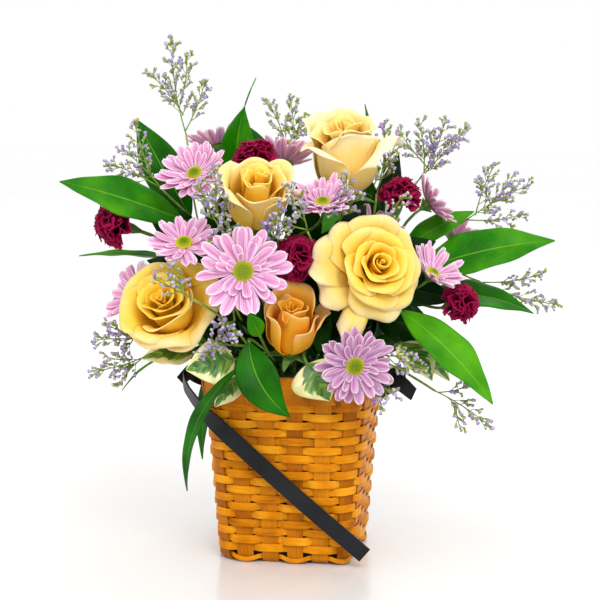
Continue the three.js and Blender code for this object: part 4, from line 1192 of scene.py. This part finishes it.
LAVENDER = {
    "lavender_top_left": sprig(
        (-76, 16, 258),
        [(-98, 30, 408), (-72, 26, 374), (-118, 30, 383), (-86, 24, 396)],
        [(-136, 6, 322), (-148, -4, 312), (-128, 14, 343)],
        foot=(-28, 22),
    ),
    "lavender_top": sprig((-2, 34, 250), [(-4, 82, 362), (-22, 80, 358), (12, 82, 346)]),
    "lavender_top_right": sprig(
        (60, 44, 250),
        [(139, 28, 338), (121, 22, 344), (100, 28, 342), (84, 32, 336), (112, 24, 334), (132, 26, 328)],
    ),
    "lavender_right": sprig(
        (86, 36, 232),
        [(191, 34, 292), (186, 32, 268), (162, 34, 308), (178, 34, 300), (148, 34, 294)],
        [(218, 46, 192), (204, 44, 218)],
    ),
    "lavender_low_right": sprig((66, -52, 166), [(152, -62, 111), (132, -60, 142), (128, -60, 110)]),
    "lavender_low_left": sprig(
        (-74, -10, 172),
        [(-158, -34, 150), (-138, -34, 140), (-148, -36, 162)],
        [(-156, -40, 176), (-146, -48, 190), (-132, -42, 166)],
        foot=(-38, -12),
    ),
    "lavender_front": sprig(
        (-46, -62, 206),
        [(-60, -66, 312), (-72, -66, 300), (-50, -72, 290)],
        [(-44, -112, 190), (-58, -110, 198)],
    ),
    "lavender_middle": sprig(
        (24, -52, 228), [(84, -52, 290), (72, -54, 274)], [(-4, -94, 300), (-16, -90, 276)]
    ),
}
# Sprays that stand among the blooms and at the back
EXTRA_LAVENDER = {
    "spray_by_upper_left_rose": sprig(
        (-26, -40, 214),
        [(-54, -84, 276), (-62, -78, 262), (-44, -86, 262)],
        [(-10, -84, 284), (-22, -86, 270), (-4, -82, 270)],
    ),
    "spray_by_middle_daisy": sprig((26, -30, 224), [(40, -64, 306), (50, -60, 292), (30, -72, 280)]),
    "spray_by_right_carnation": sprig((60, 8, 230), [(72, 26, 342), (84, 24, 332)]),
    "spray_by_left_rose": sprig((-52, -94, 202), [(-103, -104, 231), (-92, -103, 240), (-82, -102, 228)]),
    "spray_low_front": sprig((-30, -56, 172), [(-62, -100, 184), (-52, -98, 196), (-70, -94, 172)]),
    "spray_low_right": sprig(
        (50, -50, 164),
        [(90, -84, 172), (84, -84, 158), (100, -78, 160)],
        [(66, -100, 134), (76, -94, 142)],
    ),
    "spray_back_left": sprig((-40, 40, 222), [(-70, 98, 300), (-50, 96, 290), (-84, 84, 282)]),
    "spray_back_right": sprig((40, 44, 222), [(70, 100, 296), (48, 100, 282), (86, 86, 276)]),
    "spray_back_low": sprig((-4, 52, 196), [(6, 128, 226), (-12, 122, 236), (24, 122, 216)]),
}
TWIGS_START = 0.5
LAVENDER_STEM = 1.0
TWIG_RADII = np.linspace(0.6, 0.35, 6)
SIDE_TWIG_RADII = (0.4, 0.32, 0.26)
FLORET = [(0.3, 0.0), (0.8, 1.2), (1.1, 2.4), (1.6, 3.3), (0.5, 4.0)]
FLORET_STEP = 1.8
SIDE_TWIG_STEP = 2.9


# A twig with short side twigs, each ending in a row of florets
def floret_twig(twigs, florets, start, end, chance):
    length = np.linalg.norm(end - start)
    way = unit(end - start)
    bow = unit(np.cross(way, vec(chance.uniform(-1, 1), chance.uniform(-1, 1), 0.3))) * length * 0.05
    t = np.linspace(0, 1, len(TWIG_RADII))[:, None]
    line = blend(start, end, t) + bow * np.sin(math.pi * t)
    twigs.tube(line, TWIG_RADII, 5)
    side = unit(np.cross(way, vec(0.2, -0.3, 0.9)))
    over = np.cross(way, side)
    count = int(length * 0.8 / SIDE_TWIG_STEP)
    for k in range(count):
        share = 0.2 + 0.78 * (k + chance.random() * 0.5) / count
        grows = blend(start, end, share) + bow * math.sin(math.pi * share)
        turn = k * GOLDEN_ANGLE + chance.uniform(-0.4, 0.4)
        sideways = side * math.cos(turn) + over * math.sin(turn)
        reach = (5 + length * 0.2 * (1 - share)) * chance.uniform(0.6, 1.2)
        tip = grows + unit(way * 1.2 + sideways) * reach
        twigs.tube([grows, blend(grows, tip, 0.5) - way * 0.4, tip], SIDE_TWIG_RADII, 4)
        row_of_florets(florets, grows, tip, way, chance)
    row_of_florets(florets, blend(start, end, 0.8), end, way, chance)


# Florets from a twig's end back towards its start
def row_of_florets(florets, start, end, way, chance):
    length = np.linalg.norm(end - start)
    for k in range(max(2, int(0.8 * length / FLORET_STEP))):
        share = 1 - k * FLORET_STEP / length
        lean = unit(unit(end - start) + way * 0.4 + vec(*(chance.uniform(-0.9, 0.9) for _ in range(3))))
        size = chance.uniform(0.7, 1.2)
        profile = [(r * size, z * size) for r, z in FLORET]
        florets.turned(profile, 5, facing(lean), blend(start, end, share), chance.random())


def lavender_spray(name, spray):
    chance = random.Random(name)
    twigs, florets = Shape(), Shape()
    fork = vec(*spray["fork"])
    heads = []
    for end, *_ in spray["mains"]:
        tip = vec(*end)
        heads.append((blend(fork, tip, TWIGS_START), unit(tip - fork)))
    forked_stem(twigs, spray["fork"], spray["foot"], heads, LAVENDER_STEM)
    for (end, *ends), (at, way) in zip(spray["mains"], heads):
        tip = vec(*end)
        floret_twig(twigs, florets, at - way, tip, chance)
        for k, to in enumerate(ends):
            floret_twig(twigs, florets, blend(at, tip, 0.04 + 0.5 * k / len(ends)), vec(*to), chance)
    return twigs, florets


# Leaves that close the gaps between the blooms, in a darker copy of the leaf colours: painted shade for the
# bouquet's inside
INNER_STEMS = {
    "inner_leaves_middle": leafy(
        (8, 4, 214),
        leaf((10, 4, 238), (2, 2, 294), 30, (0, -1, 0.1), 3),
        leaf((20, -8, 224), (-4, -16, 262), 26, (0, -0.9, 0.3), 3),
        leaf((28, -20, 230), (56, -22, 280), 28, (0, -0.9, 0.4), 4),
    ),
    "inner_leaves_right": leafy(
        (60, 18, 220),
        leaf((64, 24, 246), (84, 28, 318), 22, (0.2, -0.95, 0.1), 3),
        leaf((56, 22, 244), (58, 26, 304), 26, (0, -0.95, 0.2), 3),
        leaf((70, 0, 226), (112, -8, 250), 26, (0.1, -0.8, 0.6), 4),
        leaf((68, -6, 214), (128, -4, 202), 30, (0.1, -0.8, 0.6), 4),
        leaf((64, -26, 192), (112, -32, 178), 34, (0.2, -0.9, 0.4), 4),
    ),
    "inner_leaves_left": leafy(
        (-56, 8, 214),
        leaf((-72, 8, 242), (-120, 12, 278), 28, (-0.1, -0.9, 0.3), 4),
        leaf((-60, -4, 236), (-58, -12, 286), 28, (0, -0.95, 0.2), 4),
        leaf((-70, -12, 218), (-116, -20, 236), 24, (-0.1, -0.8, 0.5), 4),
        leaf((-50, -22, 206), (-86, -28, 250), 26, (0, -0.95, 0.2), 4),
    ),
}

# Leafy stems that fill the bouquet's inside, kept within a dome and clear of the blooms
FILLERS = 38
FILLER_LEAVES = 7
FILLER_STEPS = 12
FILLER_STEM = 1.2
FILLER_SPREAD = 46
DOME = vec(104, 78, 142)
DOME_FOOT = vec(0, 4, 150)


# A ball for each bloom, as its middle and its radius
def bloom_balls():
    balls = []
    for rose in ROSES.values():
        balls.append((vec(*rose["at"]) + unit(rose["face"]) * rose["height"] * 0.5, rose["radius"] * 0.95))
    for flower in (*DAISIES.values(), *CARNATIONS.values()):
        balls.append((vec(*flower["at"]) + unit(flower["face"]) * 5, flower["radius"] * 0.85))
    return balls


# Whether a leaf stays over the rim, outside every ball and, with its tip, inside the dome
def is_clear(rows, balls):
    points = rows.reshape(-1, 3)
    if points[:, 2].min() < HEIGHT + 3:
        return False
    clear = all(np.linalg.norm(points - middle, axis=1).min() > radius for middle, radius in balls)
    return clear and np.linalg.norm((rows[-1, 3] - DOME_FOOT) / DOME) < 1.06


def filler_foliage():
    chance = random.Random(21)
    blades, stalks = Shape(), Shape()
    balls = bloom_balls()
    for k in range(FILLERS):
        lean = math.radians(6 + 76 * math.sqrt((k + 0.5) / FILLERS))
        turn = k * GOLDEN_ANGLE + 0.7
        way = vec(math.sin(lean) * math.cos(turn), math.sin(lean) * math.sin(turn), math.cos(lean))
        reach = 1 / np.linalg.norm(way / DOME)
        head = DOME_FOOT + way * reach * chance.uniform(0.72, 0.86)
        bottom, mouth, leaving = planted([way[0] * FILLER_SPREAD, way[1] * FILLER_SPREAD])
        line = bowed(mouth, leaving, head, unit(way + UP * 0.15), FILLER_STEPS)
        grown = 0.2
        for i in range(FILLER_LEAVES):
            share = 0.3 + 0.7 * i / (FILLER_LEAVES - 1)
            step = int(share * FILLER_STEPS)
            root = line[step]
            along = unit(line[min(step + 1, FILLER_STEPS)] - line[step - 1])
            side = unit(np.cross(along, vec(math.cos(i * 2.4 + k), math.sin(i * 2.4 + k), 0.3)))
            out = unit(along * chance.uniform(0.7, 1.1) + side)
            length = chance.uniform(34, 56)
            if i == FILLER_LEAVES - 1:
                out = along
            tip = root + out * length
            face = unit(UP * 0.7 + way * 0.6 - side * 0.4 + vec(0, -0.3, 0))
            size = dict(width=length * 0.4, arch=length * 0.06, steps=15, wide=7)
            rows = leaf_rows(root, tip, face=face, luck=chance.random(), **size)
            if is_clear(rows, balls):
                blades.sheet(rows, LEAF_THICK, chance.random())
                grown = share
        end = max(4, int(grown * FILLER_STEPS) + 1)
        stalks.tube(np.concatenate([[bottom], line[:end]]), FILLER_STEM, 6)
    return blades, stalks


# Making the pieces

WOOD = wood_look("woven_chip_wood", "8c4600", "d48000", "f2a61c")
STAKE_WOOD = wood_look("stake_wood", "7c3c00", "b46600", "d4860e")
BAND_WOOD = wood_look("band_wood", "984e00", "be6e04", "d88c16")
REED_WOOD = wood_look("lashing_wood", "7a3c00", "b26406", "d68c24")
METAL = plain_look(
    "black_ring", (160.0, 3.0), [(0.3, "0c0c0d"), (0.7, "1b1c1e")], rough=(0.22, 0.38), bump=(0.1, 0.1),
    metallic=0.4, coat_weight=0.5, coat_roughness=0.15,
)
STRAP = strap_look()
FOAM = plain_look(
    "wet_foam", (700.0, 5.0), [(0.35, "16301c"), (0.65, "2f5a36")], rough=(0.85, 1.0), bump=(0.8, 0.6)
)
LINER = plain_look(
    "liner_plastic", (60.0, 3.0), [(0.3, "1b241a"), (0.7, "273325")], rough=(0.38, 0.55), bump=(0.15, 0.3)
)
GREEN = stem_look("fresh_stem", "35601f", "6f9a3c")
TWIG = stem_look("lavender_twig", "587c28", "98b44c")
LEAF = leaf_look("glossy_leaf", "0a4000", "1e7000", "50a008", "96c83c")
# A darker copy of the leaf colours: painted shade for the leaves deep inside the bouquet
SHADED_INNER_LEAF = leaf_look("shaded_inner_leaf", "021800", "083200", "1c5604", "40781a")
CREAM = cream_look()
ROSE_LOOKS = {
    "top": petal_look("pale_peach_petal", "ffb020", "ffca58", "ffdc86", "fff0be"),
    "upper_left": petal_look("golden_petal", "ffa600", "ffc41c", "ffd56c", "ffe6a8"),
    "right": petal_look("peach_petal", "ffae00", "ffc80a", "ffd66e", "ffe4b0"),
    "left": petal_look("amber_petal", "ffb000", "ffc40a", "ffce4c", "ffdf98"),
    "bud": petal_look("bud_petal", "dc7800", "f09800", "f4a832", "f6c07c"),
}
PINK = ray_look("pink_ray", "a8508c", "dc92c0", "fdeaf5")
DUSKY_PINK = ray_look("dusky_pink_ray", "884c80", "bc80ac", "f0d8ea")
DISC = disc_look()
MAGENTA = carnation_look()
FLORETS = floret_look()


def dress(node, look):
    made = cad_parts[node]
    made.data.materials.clear()
    made.data.materials.append(look)


# The solid of that name, or none where the frame has no such solid
def solid(name):
    return [name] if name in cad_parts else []


def make_basket():
    basket_piece("woven_weavers", weavers(), WOOD, "woven_wood", "basket")
    basket_piece("woven_stakes", stakes(), STAKE_WOOD, "woven_wood", "basket")
    basket_piece("woven_base", base_plate(), STAKE_WOOD, "woven_wood", "basket")
    basket_piece("rim_band_outside", rim_band(), BAND_WOOD, "rim_wood", "rim_band")
    basket_piece("rim_lashing", lashing(), REED_WOOD, "rim_wood", "rim_band")
    basket_piece("rim_band_inside", rim_inner(), BAND_WOOD, "rim_wood", "rim_inner")
    for name, side in (("left", -1), ("right", 1)):
        basket_piece(f"half_ring_{name}", strap_ring(side), METAL, "black_metal", f"ring_{name}")
        basket_piece(f"long_strap_{name}", strap(side), STRAP, "strap", f"strap_{name}")
    dress("foam", FOAM)
    dress("liner", LINER)


def make_roses():
    for name, rose in ROSES.items():
        slot = "golden_petal" if name in ("upper_left", "bud") else "peach_petal"
        bouquet_piece(f"rose_petals_{name}", rose_bloom(name, rose), ROSE_LOOKS[name], slot, f"rose_{name}")
        bouquet_piece(f"rose_green_{name}", rose_green(name, rose), GREEN, "green_stem", f"rose_{name}_stem")


def make_daisies():
    for name, daisy in DAISIES.items():
        look = DUSKY_PINK if name == "low_right" else PINK
        replaced = solid(f"daisy_{name}")
        bouquet_piece(f"daisy_rays_{name}", daisy_rays(name, daisy), look, "pink_petal", *replaced)
    for name, (heads, fork) in DAISY_STEMS.items():
        stem, discs = Shape(), Shape()
        forked_stem(stem, fork, None, [head_of(DAISIES[one], DISC_FOOT) for one in heads], BLOOM_STEM)
        for one in heads:
            daisy_green(stem, DAISIES[one])
            daisy_disc(discs, DAISIES[one])
        replaced = solid(f"daisy_stem_{name}")
        bouquet_piece(f"daisy_green_{name}", stem, GREEN, "green_stem", *replaced)
        bouquet_piece(f"daisy_discs_{name}", discs, DISC, "green_stem", *replaced)


def make_carnations():
    for name, bloom in CARNATIONS.items():
        petals = carnation_bloom(name, bloom)
        bouquet_piece(f"carnation_petals_{name}", petals, MAGENTA, "magenta_petal", f"carnation_{name}")
    for name, (heads, fork) in CARNATION_STEMS.items():
        stem = Shape()
        forked_stem(stem, fork, None, [head_of(CARNATIONS[one], CALYX) for one in heads], BLOOM_STEM)
        for one in heads:
            carnation_green(stem, CARNATIONS[one])
        bouquet_piece(f"carnation_green_{name}", stem, GREEN, "green_stem", f"carnation_stem_{name}")


def make_leaves(stems, look, slot, widest):
    for name, stem in stems.items():
        blades, stalks = leafy_stem(name, stem, widest)
        bouquet_piece(f"blades_of_{name}", blades, look, slot, *solid(name))
        bouquet_piece(f"stalks_of_{name}", stalks, GREEN, slot, *solid(name))


def make_lavender(sprays):
    for name, spray in sprays.items():
        twigs, florets = lavender_spray(name, spray)
        bouquet_piece(f"twigs_of_{name}", twigs, TWIG, "sea_lavender", *solid(name))
        bouquet_piece(f"florets_of_{name}", florets, FLORETS, "sea_lavender", *solid(name))


def make_fillers():
    blades, stalks = filler_foliage()
    # The filler leaves take the darker leaf colours, painted shade for the bouquet's inside
    bouquet_piece("filler_blades", blades, SHADED_INNER_LEAF, "green_leaf")
    bouquet_piece("filler_stalks", stalks, GREEN, "green_leaf")


# The set

FLOOR_REACH = 6.0
LIGHT_AIM = (0, 0, 0.2)
CAMERA_ELEVATION = math.radians(7.5)
CAMERA_DISTANCE = 1.5
CAMERA_AIM = (0.0044, 0.0, 0.202)
CAMERA_LENS = 112.5
CAMERA_SENSOR = 36


def make_stage():
    look = Look("pale_floor", coat_weight=0.2, coat_roughness=0.1)
    cloud = look.noise(2.5, 3.0)
    depth = look.node("SeparateXYZ", {0: look.node("TexCoord").outputs["Object"]}).outputs["Y"]
    # The floor's colour runs from light grey in front of and under the basket to white far behind it:
    # painted shade near the basket, fading into the white world
    pale = look.ramp(look.carried(depth, -0.6, 2.4), (0.0, "dedbd8"), (0.33, "f4f3f2"), (0.6, "ffffff"))
    look.paint(look.mix(1.0, pale, look.ramp(cloud, (0.3, "fafafa"), (0.7, "ffffff")), "MULTIPLY"))
    look.rough(cloud, 0.2, 0.28)
    mesh = bpy.data.meshes.new("floor")
    corners = [(x * FLOOR_REACH, y * FLOOR_REACH, 0) for x, y in ((-1, -1), (1, -1), (1, 1), (-1, 1))]
    mesh.from_pydata(corners, [], [(0, 1, 2, 3)])
    mesh.materials.append(look.made)
    floor = add_object("floor", mesh)
    world = bpy.data.worlds.new("studio")
    world.use_nodes = True
    background = world.node_tree.nodes["Background"]
    background.inputs["Color"].default_value = (1.0, 1.0, 1.0, 1.0)
    background.inputs["Strength"].default_value = 1.0
    bpy.context.scene.world = world
    bpy.context.scene.view_settings.view_transform = "Standard"


# Places an object and turns its own -Z towards a point.
def aim(made, at, target):
    made.location = at
    made.rotation_euler = (Vector(target) - Vector(at)).to_track_quat("-Z", "Y").to_euler()


def add_light(name, at, target, size, power):
    data = bpy.data.lights.new(name, "AREA")
    data.size = size
    data.energy = power
    aim(add_object(name, data), at, target)


# The camera looks along the bouquet's +y, a little downwards.
def make_camera():
    back = CAMERA_DISTANCE * math.cos(CAMERA_ELEVATION)
    up = CAMERA_DISTANCE * math.sin(CAMERA_ELEVATION)
    turn = Matrix.Rotation(BOUQUET_TURN, 3, "Z")
    data = bpy.data.cameras.new("camera")
    data.lens = CAMERA_LENS
    data.sensor_width = CAMERA_SENSOR
    camera = add_object("camera", data)
    aim(camera, turn @ (Vector(CAMERA_AIM) + Vector((0, -back, up))), turn @ Vector(CAMERA_AIM))
    bpy.context.scene.camera = camera


make_stage()
make_camera()
add_light("key", (0.65, -1.4, 1.5), LIGHT_AIM, 1.0, 21)
add_light("fill", (-1.4, -0.8, 0.8), LIGHT_AIM, 1.4, 4)
add_light("back", (0.2, 1.3, 1.4), (0, 0, 0.25), 1.2, 6)
make_basket()
make_roses()
make_daisies()
make_carnations()
make_leaves(LEAF_STEMS, LEAF, "green_leaf", LEAF_WIDEST)
make_leaves(CREAM_STEMS, CREAM, "cream_leaf", CREAM_WIDEST)
make_lavender(LAVENDER)
make_fillers()
make_leaves(INNER_STEMS, SHADED_INNER_LEAF, "green_leaf", LEAF_WIDEST)
make_lavender(EXTRA_LAVENDER)


def corners(box):
    return [list(map(float, corner)) for corner in box]
